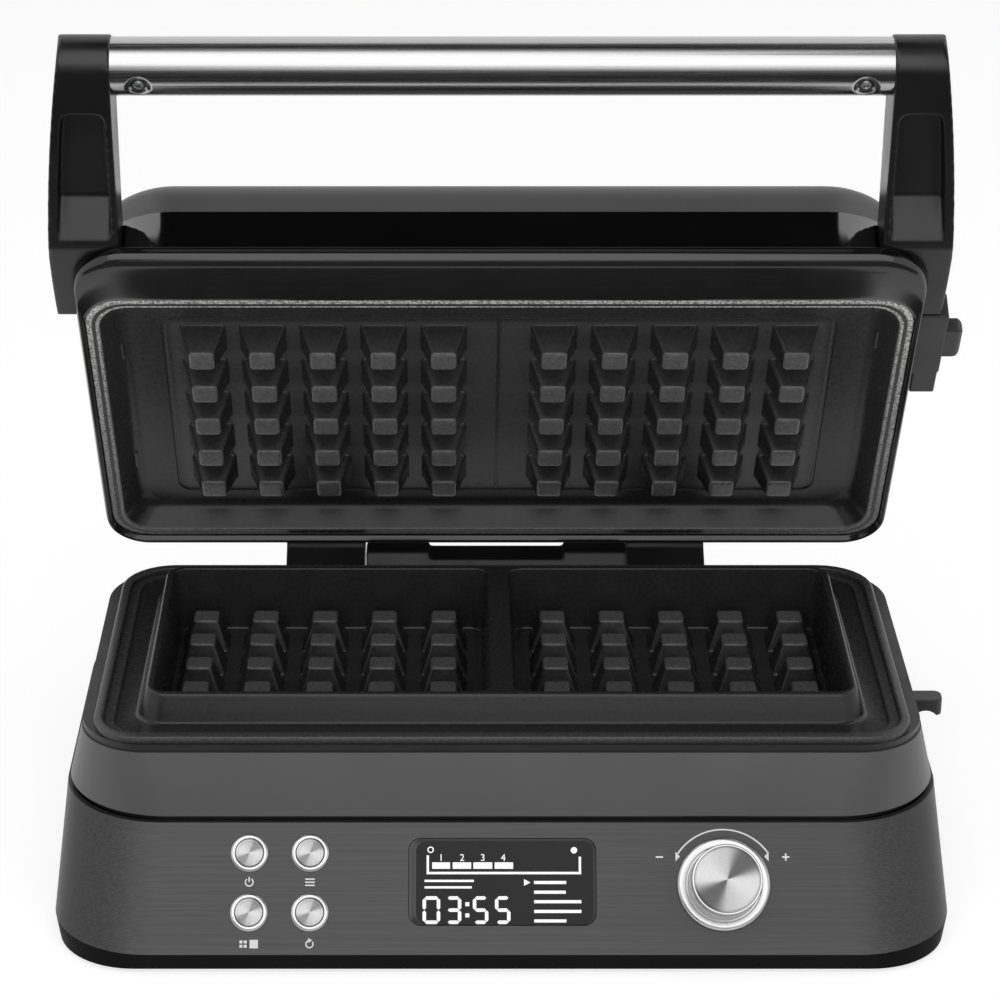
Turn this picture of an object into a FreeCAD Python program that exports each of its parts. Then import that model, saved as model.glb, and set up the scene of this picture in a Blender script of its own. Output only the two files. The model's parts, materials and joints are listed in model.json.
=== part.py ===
import FreeCAD, Part
import math
import os

Vector = FreeCAD.Vector

# A two-bed waffle maker with a lid that stands open.
# Sizes are in millimetres. Everything is drawn with the lid closed and the middle of the
# waffle grid at y = 0. The lid pieces are then opened, and all is moved so that y = 0 is
# the middle of the foot of the casing and z = 0 is the table.

# Pose of the drawing
lid_open = 58.7
grid_shift = 13.85
table_z = 4.4

# General clearances
slip = 0.05
ease = 0.2
over = 1.0

# Waffle grid
pitch_x = 23.0
pitch_y = 20.7
grid_count = 5
bed_x = 67.0
stud_base_x = 16.8
stud_base_y = 15.1
stud_tip = 9.2
stud_height = 12.0
stud_round = 1.2

# Heights of the base
tray_z = 5.9
tray_floor = 2.5
band_z = 12.8
groove_z = 51.0
upper_z = 53.0
frame_z = 75.8
rim_z = 78.7
rim_top = 81.3
rim_step = 79.8
trough_z = 78.5
ridge_top = 89.2
bed_floor = 63.7
plate_wall = 3.0

# Heights of the closed lid
bezel_z = 83.2
bezel_top = 88.0
tip_gap = 5.5
shell_z = 107.5
lid_top = 128.0
upper_floor = bed_floor + stud_height + tip_gap + stud_height
upper_back = upper_floor + plate_wall

# Plan outlines: half width, depth to the front, depth to the rear, front and rear corner radius
tray_low = (159.9, 105.7, 79.0, 29.0, 34.0)
tray_high = (161.9, 107.7, 80.0, 36.0, 36.0)
band_high = (158.6, 80.4, 80.0, 37.0, 33.0)
upper_low = (157.6, 79.2, 80.0, 37.0, 32.0)
upper_high = (152.0, 74.4, 80.0, 25.0, 29.0)
rim_out = (147.0, 72.9, 77.0, 17.0, 20.0)
rim_mid = (143.5, 69.4, 73.5, 14.0, 17.0)
rim_in = (139.5, 65.5, 69.5, 10.0, 13.0)
ridge_foot = (131.6, 57.4, 61.0, 10.0, 10.0)
ridge_edge = (128.6, 54.4, 58.0, 8.0, 8.0)
bezel_out = (158.5, 101.4, 79.2, 20.0, 18.0)
lid_wall = (155.5, 98.4, 79.2, 34.0, 17.0)
flange_out = (155.5, 76.0, 75.5, 14.0, 14.0)
dish_mouth = (150.7, 72.0, 71.5, 12.0, 12.0)
dish_floor = (143.5, 65.7, 67.0, 9.0, 9.0)
zone_line = (128.5, 54.4, 58.0, 6.0, 6.0)

# Casing walls
band_wall = 2.0
upper_wall = 2.2
shell_wall = 2.0
lid_skin = 2.5
shell_round = 14.0

# Screws, all of one kind
screw_r = 1.6
screw_head_r = 3.0
screw_head_h = 2.4
screw_hole = screw_r + slip
screw_clear = 1.9

# Hinge
hinge_y = 90.4
hinge_z = 42.2
pin_r = 4.0
bush_r = 5.5
barrel_r = 9.2
tower_half = 52.0
washer_t = 1.0
arm_in = tower_half + washer_t + ease
arm_width = 32.3
arm_out = arm_in + arm_width
pin_start = 36.0
pin_head_r = 6.5
pin_head_t = 2.5
pin_end_gap = 0.5

# Handle
tube_y = -158.0
tube_z = 125.0
tube_r = 10.6
tube_wall = 1.3
arm_face = 140.0
arm_wrap = 11.4
spigot_len = 18.0
handle_screw_x = 130.0

# Front panel controls, placed by distance along x and by distance down the slope
button_x = (-90.0, -68.4)
button_s = (10.9, 32.0)
button_r = 4.75
button_ring_in = 5.1
button_ring_r = 6.75
button_travel = 0.8
window_half = 33.4
window_top = 5.5
window_low = 36.7
window_round = 4.5
knob_x = 78.6
knob_s = 22.0
knob_ring_r = 16.75
knob_r = 12.9
knob_top_r = 12.5
knob_cap_r = 11.6
knob_height = 16.5
shaft_r = 3.0
bushing_r = 3.5
board_h = -8.0
board_t = 1.6

# Plate latches on the right-hand side
latch_y0 = -26.0
latch_y1 = -17.5
upper_latch_y0 = -49.5
upper_latch_y1 = -34.0

# Heating elements
heater_r = 3.3
heater_gap = 0.2
heater_half = 112.0
heater_front = -42.0
heater_rear = 45.0
heater_end = 18.0
heater_bend = 12.0


def outline(size, z):
    half, front, rear, round_front, round_rear = size
    return rounded(-half, half, -front, rear, round_front, round_rear, z)


def rounded(x0, x1, y0, y1, rf, rr, z):
    # a closed four-sided outline with round corners, one radius at the front and one at the rear
    kf = rf * (1.0 - math.sqrt(0.5))
    kr = rr * (1.0 - math.sqrt(0.5))
    corners = [
        ((x1 - rf, y0), (x1 - kf, y0 + kf), (x1, y0 + rf)),
        ((x1, y1 - rr), (x1 - kr, y1 - kr), (x1 - rr, y1)),
        ((x0 + rr, y1), (x0 + kr, y1 - kr), (x0, y1 - rr)),
        ((x0, y0 + rf), (x0 + kf, y0 + kf), (x0 + rf, y0)),
    ]
    edges = []
    last = Vector(x0 + rf, y0, z)
    for a, m, b in corners:
        start = Vector(a[0], a[1], z)
        edges.append(Part.makeLine(last, start))
        last = Vector(b[0], b[1], z)
        edges.append(Part.Arc(start, Vector(m[0], m[1], z), last).toShape())
    return Part.Wire(edges)


def inset(size, t):
    half, front, rear, round_front, round_rear = size
    return (half - t, front - t, rear - t, max(round_front - t, over), max(round_rear - t, over))


def prism(size, z0, z1):
    return Part.Face(outline(size, z0)).extrude(Vector(0, 0, z1 - z0))


def level(low, z0, high, z1, z):
    k = (z - z0) / (z1 - z0)
    return tuple(a + (b - a) * k for a, b in zip(low, high))


def tapered(low, z0, high, z1, za, zb):
    first = outline(level(low, z0, high, z1, za), za)
    second = outline(level(low, z0, high, z1, zb), zb)
    return Part.makeLoft([first, second], True, True)


def box(x0, x1, y0, y1, z0, z1):
    return Part.makeBox(x1 - x0, y1 - y0, z1 - z0, Vector(x0, y0, z0))


def rod(x, y, z0, z1, r):
    return Part.makeCylinder(r, z1 - z0, Vector(x, y, z0))


def rod_x(x0, x1, y, z, r):
    return Part.makeCylinder(r, x1 - x0, Vector(x0, y, z), Vector(1, 0, 0))


def rod_y(x, y0, y1, z, r):
    return Part.makeCylinder(r, y1 - y0, Vector(x, y0, z), Vector(0, 1, 0))


def side_view(points, x0, x1):
    corners = [Vector(x0, y, z) for y, z in points]
    face = Part.Face(Part.makePolygon(corners + [corners[0]]))
    return face.extrude(Vector(x1 - x0, 0, 0))


def joined(first, others):
    return first.multiFuse(others).removeSplitter()


def minus(first, others):
    return first.cut(others).removeSplitter()


def mirrored(shape):
    return shape.mirror(Vector(0, 0, 0), Vector(1, 0, 0))


def both_sides(shape):
    return [shape, mirrored(shape)]


def group(shapes):
    return Part.makeCompound(shapes)


def edges_between(shape, start, end):
    # edges that run between two points of a side view
    found = []
    for edge in shape.Edges:
        box_of = edge.BoundBox
        at_y = abs(box_of.YMin - start[0]) < 1e-3 and abs(box_of.YMax - end[0]) < 1e-3
        at_z = abs(box_of.ZMin - start[1]) < 1e-3 and abs(box_of.ZMax - end[1]) < 1e-3
        if at_y and at_z:
            found.append(edge)
    return found


def edges_at(shape, z):
    found = []
    for edge in shape.Edges:
        box_of = edge.BoundBox
        if abs(box_of.ZMin - z) < 1e-4 and abs(box_of.ZMax - z) < 1e-4:
            found.append(edge)
    return found


def bent_tube(points, bend, r):
    # a round tube along straight runs with a bend at each inner point
    edges = []
    last = points[0]
    for i in range(1, len(points) - 1):
        back = (points[i - 1] - points[i]).normalize()
        ahead = (points[i + 1] - points[i]).normalize()
        start = points[i] + back * bend
        end = points[i] + ahead * bend
        centre = points[i] + (back + ahead) * bend
        inward = (points[i] - centre).normalize()
        edges.append(Part.makeLine(last, start))
        edges.append(Part.Arc(start, centre + inward * bend, end).toShape())
        last = end
    edges.append(Part.makeLine(last, points[-1]))
    path = Part.Wire(edges)
    ring = Part.Wire([Part.makeCircle(r, points[0], points[1] - points[0])])
    return path.makePipeShell([ring], True, False)


def place(name, shape, on_lid=False):
    out = shape.copy()
    if on_lid:
        out.rotate(Vector(0, hinge_y, hinge_z), Vector(1, 0, 0), -lid_open)
    out.translate(Vector(0, grid_shift, -table_z))
    out.exportStep("parts/" + name + ".step")
    print(name, len(out.Solids), round(out.Volume), out.isValid())


# The sloping front panel: local x is across, local y is up the slope, local z is outward
panel_drop = groove_z - band_z
panel_run = tray_high[1] - band_high[1]
panel_tilt = math.degrees(math.atan2(panel_run, panel_drop))
panel_turn = FreeCAD.Rotation(Vector(1, 0, 0), 90.0 - panel_tilt)
panel_origin = Vector(0, -band_high[1], groove_z)
panel_spot = FreeCAD.Placement(panel_origin, panel_turn)
panel_skin = band_wall * math.cos(math.radians(panel_tilt))


def on_panel(shape):
    out = shape.copy()
    out.Placement = panel_spot.multiply(out.Placement)
    return out


def panel_rod(x, s, h0, h1, r):
    return on_panel(rod(x, -s, h0, h1, r))


def panel_box(x0, x1, s0, s1, h0, h1):
    return on_panel(box(x0, x1, -s1, -s0, h0, h1))


def panel_block(x0, x1, s0, s1, r, h0, h1):
    face = Part.Face(rounded(x0, x1, -s1, -s0, r, r, h0))
    return on_panel(face.extrude(Vector(0, 0, h1 - h0)))


def screw_up(x, y, z, length):
    return joined(rod(x, y, z - screw_head_h, z, screw_head_r), [rod(x, y, z, z + length, screw_r)])


def screw_along_y(x, y, z, length, way):
    head = rod_y(x, min(y, y - way * screw_head_h), max(y, y - way * screw_head_h), z, screw_head_r)
    shank = rod_y(x, min(y, y + way * length), max(y, y + way * length), z, screw_r)
    return joined(head, [shank])


def screw_along_x(x, y, z, length):
    head = rod_x(x - screw_head_h, x, y, z, screw_head_r)
    return joined(head, [rod_x(x, x + length, y, z, screw_r)])


os.makedirs("parts", exist_ok=True)

# Tray under the casing, with a locating lip and the posts for the casing screws
lip_z = band_z + 4.0
lip_gap = 0.4
lip_wall = 2.0
lip_out = inset(level(tray_high, band_z, band_high, groove_z, lip_z), band_wall + lip_gap)
floor_z = tray_z + tray_floor
post_x = 146.0
post_y = (-50.0, 55.0)
post_r = 4.5
post_top = 45.0
post_seat = 38.0
head_bore = screw_head_r + ease
foot_r = 9.0
foot_x = 130.0
foot_y = (-80.0, 58.0)
foot_seat = 1.2
foot_round = 0.8
foot_stem_r = 2.6
foot_stem_top = tray_z + 5.0
board_post_x = 52.0
board_post_y = (-22.0, 42.0)
board_z = floor_z + 7.5

tray = tapered(tray_low, tray_z, tray_high, band_z, tray_z, band_z)
tray = joined(tray, [prism(lip_out, floor_z, lip_z)])
tray = minus(tray, [prism(inset(lip_out, lip_wall), floor_z, lip_z + over)])
post_spots = [(x, y) for x in (-post_x, post_x) for y in post_y]
foot_spots = [(x, y) for x in (-foot_x, foot_x) for y in foot_y]
board_spots = [(x, y) for x in (-board_post_x, board_post_x) for y in board_post_y]
posts = [rod(x, y, tray_z, post_top, post_r) for x, y in post_spots]
posts += [rod(x, y, tray_z, board_z, 3.0) for x, y in board_spots]
tray = joined(tray, posts)
holes = [rod(x, y, tray_z - over, post_seat, head_bore) for x, y in post_spots]
holes += [rod(x, y, post_seat, post_top + over, screw_clear) for x, y in post_spots]
holes += [rod(x, y, tray_z - over, tray_z + foot_seat, foot_r + ease) for x, y in foot_spots]
holes += [rod(x, y, tray_z, floor_z + over, foot_stem_r + slip) for x, y in foot_spots]
place("base_tray", minus(tray, holes))

feet = []
for x, y in foot_spots:
    pad = rod(x, y, table_z, tray_z + foot_seat, foot_r)
    pad = pad.makeFillet(foot_round, edges_at(pad, table_z))
    feet.append(joined(pad, [rod(x, y, tray_z + foot_seat, foot_stem_top, foot_stem_r)]))
place("rubber_feet", group(feet))

base_screws = [screw_up(x, y, post_seat, 22.0) for x, y in post_spots]
place("base_screws", group(base_screws))

# Lower casing with the front panel openings
tower_screw_x = 40.0
tower_screw_z = (30.0, 66.0)
gland_x = -120.0
gland_z = 28.0
gland_r = 6.0
ring_sleeve_r = 5.85

lower = tapered(tray_high, band_z, band_high, groove_z, band_z, groove_z)
hollow = tapered(
    inset(tray_high, band_wall), band_z, inset(band_high, band_wall), groove_z,
    band_z - over, groove_z + over,
)
cuts = [hollow]
for x in button_x:
    for s in button_s:
        cuts.append(panel_rod(x, s, -4.0, over, ring_sleeve_r + slip))
cuts.append(panel_block(-window_half, window_half, window_top, window_low, window_round, -4.0, over))
cuts.append(panel_rod(knob_x, knob_s, -4.0, over, bushing_r + ease))
wall_y = band_high[2]
for x in (-tower_screw_x, tower_screw_x):
    cuts.append(rod_y(x, wall_y - 5.0, wall_y + over, tower_screw_z[0], screw_clear))
cuts.append(rod_y(gland_x, wall_y - 5.0, wall_y + over, gland_z, gland_r + slip))
place("lower_housing", minus(lower, cuts))

# Black ring in the groove between the two casing bands
groove_out = inset(upper_low, 1.0)
groove_in = inset(upper_low, 5.0)
nest_drop = 2.0
nest_rise = 2.0
nest_out = inset(level(upper_low, upper_z, upper_high, frame_z, upper_z + nest_rise), upper_wall + lip_gap)
nest = prism(nest_out, groove_z - nest_drop, upper_z + nest_rise)
trim = joined(prism(groove_out, groove_z, upper_z), [nest])
bore = prism(groove_in, groove_z - nest_drop - over, upper_z + nest_rise + over)
place("trim_ring", minus(trim, [bore]))

# Upper casing band, with the slot of the lower latch
slot_gap = 0.6
latch_z0 = 66.0
latch_z1 = 72.5
upper = tapered(upper_low, upper_z, upper_high, frame_z, upper_z, frame_z)
hollow = tapered(
    inset(upper_low, upper_wall), upper_z, inset(upper_high, upper_wall), frame_z,
    upper_z - over, frame_z + over,
)
cuts = [hollow]
slot_y = (latch_y0 - slot_gap, latch_y1 + slot_gap)
slot_z = (latch_z0 - slot_gap, latch_z1 + slot_gap)
cuts.append(box(0.0, upper_low[0] + over, slot_y[0], slot_y[1], slot_z[0], slot_z[1]))
for x in (-tower_screw_x, tower_screw_x):
    cuts.append(rod_y(x, wall_y - 5.0, wall_y + over, tower_screw_z[1], screw_clear))
place("upper_housing", minus(upper, cuts))

# Black frame that carries the lower plate, with a skirt, a ledge and the latch guide
frame_edge = inset(upper_high, 0.6)
frame_mouth = (142.5, 67.0, 71.5, 13.0, 20.0)
skirt_wall = 3.0
skirt_z = 48.0
ledge_z = 50.5
ledge_in = inset(frame_mouth, 6.0)
boss_r = 3.5
lug_z0 = 67.0
lug_z1 = 70.0
lug_end = 145.5
lug_root = 140.0
lug_y = (-25.0, -18.5)
left_lugs = ((-40.0, -30.0), (30.0, 40.0))
guide_z = 62.5
guide_run = 6.7
guide_out = frame_mouth[0] + guide_run
guide_side = 3.0
lug_gap = 0.5
boss_bore_top = 62.0

frame = prism(frame_edge, frame_z, rim_z)
skirt_out = inset(frame_mouth, -skirt_wall)
frame = joined(frame, [prism(skirt_out, skirt_z, frame_z)])
mouth = prism(frame_mouth, ledge_z, rim_z + over)
frame = minus(frame, [mouth, prism(ledge_in, skirt_z - over, ledge_z + over)])
extras = [rod(x, y, post_top, frame_z, boss_r) for x, y in post_spots]
guide_y0 = slot_y[0] - guide_side
guide_y1 = slot_y[1] + guide_side
guide_in = frame_mouth[0] - over
extras.append(box(frame_mouth[0] + over, guide_out, guide_y0, guide_y1, guide_z, frame_z))
frame = joined(frame, extras)
cuts = [rod(x, y, post_top - over, boss_bore_top, screw_hole) for x, y in post_spots]
cuts.append(box(guide_in, guide_out + over, slot_y[0], slot_y[1], slot_z[0], slot_z[1]))
lug_y0 = lug_y[0] - lug_gap
lug_y1 = lug_y[1] + lug_gap
cuts.append(box(guide_in, lug_end + lug_gap, lug_y0, lug_y1, lug_z0 - lug_gap, rim_z + over))
for y0, y1 in left_lugs:
    window = box(-lug_end - lug_gap, -guide_in, y0 - lug_gap, y1 + lug_gap, lug_z0 - lug_gap, lug_z1 + lug_gap)
    cuts.append(window)
place("base_frame", minus(frame, cuts))


# Studs of both beds, grown from a floor up or down
def stud_face(x, y, wide, deep, r, z):
    return rounded(x - wide / 2, x + wide / 2, y - deep / 2, y + deep / 2, r, r, z)


def studs(floor, way):
    made = []
    middle = (grid_count - 1) / 2.0
    for bed in (-bed_x, bed_x):
        for i in range(grid_count):
            for j in range(grid_count):
                x = bed + (i - middle) * pitch_x
                y = (j - middle) * pitch_y
                root = stud_face(x, y, stud_base_x, stud_base_y, stud_round, floor)
                tip = stud_face(x, y, stud_tip, stud_tip, stud_round, floor + way * stud_height)
                made.append(Part.makeLoft([root, tip], True, True))
    return made


# Lower plate: stepped rim, shallow channel, ridge round both beds, studs and latch lugs
bed_margin_x = 2.6
bed_margin_front = 1.0
bed_margin_rear = 5.6
bed_slope = 1.9
bed_rear_slope = 0.9
bed_round = 5.0
divider = 4.0
grid_half_x = (grid_count - 1) / 2.0 * pitch_x + stud_base_x / 2
grid_half_y = (grid_count - 1) / 2.0 * pitch_y + stud_base_y / 2
bed_end = bed_x + grid_half_x + bed_margin_x
bed_front = -grid_half_y - bed_margin_front
bed_rear = grid_half_y + bed_margin_rear
bed_low = (divider + bed_slope, bed_end, bed_front, bed_rear, bed_round, bed_round)
bed_high = (divider, bed_end + bed_slope, bed_front - bed_slope, bed_rear + bed_rear_slope, bed_round, bed_round)
pan_round = 8.0
pan_under = (bed_end + plate_wall, plate_wall - bed_front, bed_rear + plate_wall, pan_round, pan_round)
collar_gap = 1.0
collar_out = inset(frame_mouth, collar_gap)
deck_z = trough_z - plate_wall

ridge = tapered(ridge_foot, trough_z, ridge_edge, ridge_top, deck_z, ridge_top)
deck = prism(collar_out, deck_z, rim_top)
collar = prism(collar_out, lug_z0, deck_z).cut(prism(inset(collar_out, plate_wall), lug_z0 - over, deck_z))
plate = joined(prism(rim_out, rim_z, rim_top), [deck, collar, prism(pan_under, bed_floor - plate_wall, trough_z)])
channel = prism(rim_in, trough_z, rim_top + over)
plate = joined(plate.cut([channel, prism(rim_mid, rim_step, rim_top + over)]), [ridge])
bed_lift = ridge_top + over
grown = level(bed_low, bed_floor, bed_high, ridge_top, bed_lift)
bed = Part.makeLoft([rounded(*bed_low, bed_floor), rounded(*grown, bed_lift)], True, True)
plate = minus(plate, both_sides(bed))
lugs = [box(lug_root, lug_end, lug_y[0], lug_y[1], lug_z0, lug_z1)]
lugs += [box(-lug_end, -lug_root, y0, y1, lug_z0, lug_z1) for y0, y1 in left_lugs]
place("lower_plate", joined(plate, studs(bed_floor, 1.0) + lugs))

# Reflector pan, heating element and its saddles, used in the base and again in the lid
def heater_path(z, leg_z):
    flat = [
        (-heater_end, heater_rear),
        (-heater_half, heater_rear),
        (-heater_half, heater_front),
        (heater_half, heater_front),
        (heater_half, heater_rear),
        (heater_end, heater_rear),
    ]
    points = [Vector(x, y, z) for x, y in flat]
    return [Vector(-heater_end, heater_rear, leg_z)] + points + [Vector(heater_end, heater_rear, leg_z)]


saddle_half = 4.5
saddle_spots = (
    (-heater_half, 0.0), (heater_half, 0.0), (-55.0, heater_front),
    (55.0, heater_front), (-65.0, heater_rear), (65.0, heater_rear),
)


def saddles(z0, z1, z, leg_z):
    bed_of = bent_tube(heater_path(z, leg_z), heater_bend, heater_r + slip)
    blocks = []
    for x, y in saddle_spots:
        block = box(x - saddle_half, x + saddle_half, y - saddle_half, y + saddle_half, z0, z1)
        blocks.append(block.cut(bed_of))
    return group(blocks)


sheet = 0.8
pan_z = 46.0
pan_flange = inset(frame_mouth, 0.3)
pan_out = inset(ledge_in, 0.3)
leg_hole = heater_r + 1.2
pan = joined(prism(pan_flange, ledge_z, ledge_z + sheet), [prism(pan_out, pan_z - sheet, ledge_z + sheet)])
cuts = [prism(inset(pan_out, sheet), pan_z, ledge_z + over)]
cuts += [rod(x, heater_rear, pan_z - over, pan_z + over, leg_hole) for x in (-heater_end, heater_end)]
place("lower_reflector", minus(pan, cuts))

lower_heater_z = bed_floor - plate_wall - heater_gap - heater_r
lower_leg = 36.0
place("lower_heater", bent_tube(heater_path(lower_heater_z, lower_leg), heater_bend, heater_r))
place("lower_heater_clips", saddles(pan_z, lower_heater_z, lower_heater_z, lower_leg))
probe_top = bed_floor - plate_wall - heater_gap
probe = joined(rod(0.0, 0.0, pan_z, probe_top, 4.0), [rod(0.0, 0.0, pan_z, pan_z + 1.5, 7.0)])
place("lower_sensor", probe)
cutout_x = 60.0
cutout_r = 8.0
cutout_tall = 6.7
cutout_ear = 13.0
pan_low = pan_z - sheet
ears = box(cutout_x - cutout_ear, cutout_x + cutout_ear, -4.0, 4.0, pan_low - 1.0, pan_low)
place("thermal_cutout", joined(rod(cutout_x, 0.0, pan_low - cutout_tall, pan_low, cutout_r), [ears]))

# Boards and their carrier
carrier_t = 2.2
carrier_edge = 4.0
board_half = 112.0
board_top = 2.5
board_low = 39.5
board_back = board_h - board_t
leg_x = 95.0
leg_half = 6.0
leg_tall = 14.0
leg_y = (-94.0, -84.0)
place("control_board", panel_box(-board_half, board_half, board_top, board_low, board_back, board_h))
carrier_half = board_half + carrier_edge
carrier = panel_box(-carrier_half, carrier_half, board_top, board_low, board_back - carrier_t, board_back)
in_front = panel_box(-carrier_half, carrier_half, -board_low, 2.0 * board_low, board_back, board_low)
legs = []
for x in (-leg_x, leg_x):
    leg = box(x - leg_half, x + leg_half, leg_y[0], leg_y[1], floor_z, floor_z + leg_tall)
    legs.append(leg.cut(in_front))
place("panel_carrier", joined(carrier, legs))
power_edge = 8.0
power_half = board_post_x + power_edge
power_y0 = board_post_y[0] - power_edge
power_y1 = board_post_y[1] + power_edge
place("power_board", box(-power_half, power_half, power_y0, power_y1, board_z, board_z + board_t))
relay_x = 25.0
relay_half = 10.0
relay_y = (10.0, 26.0)
relay_tall = 15.0
relay_z = board_z + board_t
relays = []
for x in (-relay_x, relay_x):
    relays.append(box(x - relay_half, x + relay_half, relay_y[0], relay_y[1], relay_z, relay_z + relay_tall))
place("power_relays", group(relays))

# Display window in its opening, with the module behind it
window_flange = 2.3
window_back = -3.4
window_face = -0.9
flange_half = window_half + window_flange
flange_s = (window_top - window_flange, window_low + window_flange)
pane_half = window_half - ease
pane_s = (window_top + ease, window_low - ease)
flange_h = -panel_skin - slip
flange = panel_block(-flange_half, flange_half, flange_s[0], flange_s[1], window_round, window_back, flange_h)
pane = panel_block(-pane_half, pane_half, pane_s[0], pane_s[1], window_round - ease, window_back, window_face)
place("display_window", joined(flange, [pane]))
module_edge = 2.5
module_gap = 0.1
module_half = window_half - module_edge
module_s = (window_top + module_edge, window_low - module_edge)
module_top = window_back - module_gap
place("display_module", panel_box(-module_half, module_half, module_s[0], module_s[1], board_h, module_top))

# Push buttons with their rings and switches
ring_flange = 0.9
sleeve_low = -2.9
cap_low = sleeve_low - ease
plunger_tip = -5.2
rings = []
switches = []
button_names = ["button_upper_left", "button_lower_left", "button_upper_right", "button_lower_right"]
for x in button_x:
    for s in button_s:
        ring = joined(
            panel_rod(x, s, slip, ring_flange, button_ring_r),
            [panel_rod(x, s, sleeve_low, slip, ring_sleeve_r)],
        )
        rings.append(minus(ring, [panel_rod(x, s, sleeve_low - over, ring_flange + over, button_ring_in)]))
        switches.append(
            joined(
                panel_box(x - 3.1, x + 3.1, s - 3.1, s + 3.1, board_h, -6.4),
                [panel_rod(x, s, -6.4, plunger_tip - button_travel - 0.1, 1.6)],
            )
        )
        cap = joined(
            panel_rod(x, s, cap_low, 1.7, button_r),
            [panel_rod(x, s, cap_low - 1.0, cap_low, 5.6), panel_rod(x, s, plunger_tip, cap_low - 1.0, 1.4)],
        )
        place(button_names.pop(0), cap)
place("button_rings", group(rings))
place("button_switches", group(switches))

# Rotary knob on its encoder
dish_t = 0.8
rim_h = 2.0
knob_low = dish_t + 0.5
shaft_low = -5.9
shaft_top = 11.8
cap_sink = 0.6
cap_rise = 0.7
knob_gap = 0.3
raised = panel_rod(knob_x, knob_s, slip, rim_h, knob_ring_r)
cuts = [panel_rod(knob_x, knob_s, dish_t, rim_h + over, knob_r + knob_gap)]
cuts.append(panel_rod(knob_x, knob_s, -over, rim_h + over, bushing_r + ease))
place("knob_ring", minus(raised, cuts))
spot = panel_spot.multiply(FreeCAD.Placement(Vector(knob_x, -knob_s, 0), FreeCAD.Rotation()))
knob = Part.makeCone(knob_r, knob_top_r, knob_height - knob_low, Vector(0, 0, knob_low))
knob = knob.makeFillet(0.8, edges_at(knob, knob_height))
cap_seat = rod(0.0, 0.0, knob_height - cap_sink, knob_height + over, knob_cap_r + slip)
knob = minus(knob, [cap_seat, rod(0.0, 0.0, 0.0, shaft_top + ease, shaft_r + slip)])
knob.Placement = spot
place("knob_body", knob)
place("knob_cap", panel_rod(knob_x, knob_s, knob_height - cap_sink, knob_height + cap_rise, knob_cap_r))
place("encoder_shaft", panel_rod(knob_x, knob_s, shaft_low, shaft_top, shaft_r))
can = joined(
    panel_box(knob_x - 6.5, knob_x + 6.5, knob_s - 6.5, knob_s + 6.5, board_h, -2.4),
    [panel_rod(knob_x, knob_s, -2.4, 1.0, bushing_r)],
)
place("encoder", minus(can, [panel_rod(knob_x, knob_s, shaft_low - 0.1, 2.0, shaft_r + slip)]))

# Cord gland in the rear wall
gland_bore = 3.5
gland = joined(
    rod_y(gland_x, wall_y + slip, wall_y + 3.0, gland_z, gland_r + 3.0),
    [rod_y(gland_x, wall_y - 5.0, wall_y + 9.0, gland_z, gland_r)],
)
place("cord_gland", minus(gland, [rod_y(gland_x, wall_y - 6.0, wall_y + 10.0, gland_z, gland_bore)]))

# Hinge tower behind the casing, with the pins and washers that carry the lid
tower_y0 = wall_y + slip
tower_y1 = 98.0
tower_z0 = 26.0
knuckle_z = 83.6
bar_z = 81.2
bar_half = 26.5
knuckle_y1 = 96.0
tower_view = [
    (tower_y0, tower_z0), (tower_y1 - 6.0, tower_z0), (tower_y1, tower_z0 + 6.0), (tower_y1, knuckle_z - 9.6),
    (knuckle_y1, knuckle_z - 2.0), (knuckle_y1 - 2.0, knuckle_z), (tower_y0 + 4.0, knuckle_z),
    (tower_y0, knuckle_z - 5.0),
]
tower = side_view(tower_view, -tower_half, tower_half)
cuts = [box(-bar_half, bar_half, tower_y0 - over, tower_y1 + over, bar_z, knuckle_z + over)]
cuts.append(box(-bar_half, bar_half, tower_y0 - over, 93.0, tower_z0 + 6.0, bar_z - 5.0))
for side in (-1.0, 1.0):
    x0 = min(side * pin_start, side * (tower_half + over))
    x1 = max(side * pin_start, side * (tower_half + over))
    cuts.append(rod_x(x0, x1, hinge_y, hinge_z, pin_r + 0.02))
    for z in tower_screw_z:
        cuts.append(rod_y(side * tower_screw_x, tower_y0 - over, 93.0, z, screw_hole))
place("hinge_tower", minus(tower, cuts))
tower_screws = []
for side in (-1.0, 1.0):
    tower_screws.append(screw_along_y(side * tower_screw_x, wall_y - band_wall, tower_screw_z[0], 14.0, 1.0))
    tower_screws.append(screw_along_y(side * tower_screw_x, wall_y - upper_wall, tower_screw_z[1], 14.0, 1.0))
place("tower_screws", group(tower_screws))
pin_head = arm_out + pin_end_gap
pin = joined(
    rod_x(pin_start, pin_head, hinge_y, hinge_z, pin_r),
    [rod_x(pin_head, pin_head + pin_head_t, hinge_y, hinge_z, pin_head_r)],
)
place("hinge_pins", group(both_sides(pin)))
washer = rod_x(tower_half, tower_half + washer_t, hinge_y, hinge_z, 8.0)
washer = washer.cut(rod_x(tower_half - over, tower_half + 2.0, hinge_y, hinge_z, pin_r + slip))
place("hinge_washers", group(both_sides(washer)))

# Lower latch: a tab outside the casing and a tongue over the lug of the plate
tongue_z = lug_z1 + ease
tab_end = 163.6
tab_start = 147.0
tab_corner = 3.0
tongue_in = 142.2
tongue_lap = 1.0
tab = box(tab_start, tab_end, latch_y0, latch_y1, latch_z0, latch_z1)
tab_edges = [e for e in tab.Edges if e.BoundBox.XMin > tab_end - 1e-4 and e.BoundBox.ZLength > 1.0]
tab = tab.makeFillet(tab_corner, tab_edges)
tongue = box(tongue_in, tab_start + tongue_lap, latch_y0 + 0.4, latch_y1 - 0.4, tongue_z, latch_z1 - 0.1)
scoop = rod_y(157.5, latch_y0 - over, latch_y1 + over, latch_z0 - 3.0, 5.0)
place("lower_latch", minus(joined(tab, [tongue]), [scoop]))

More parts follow.
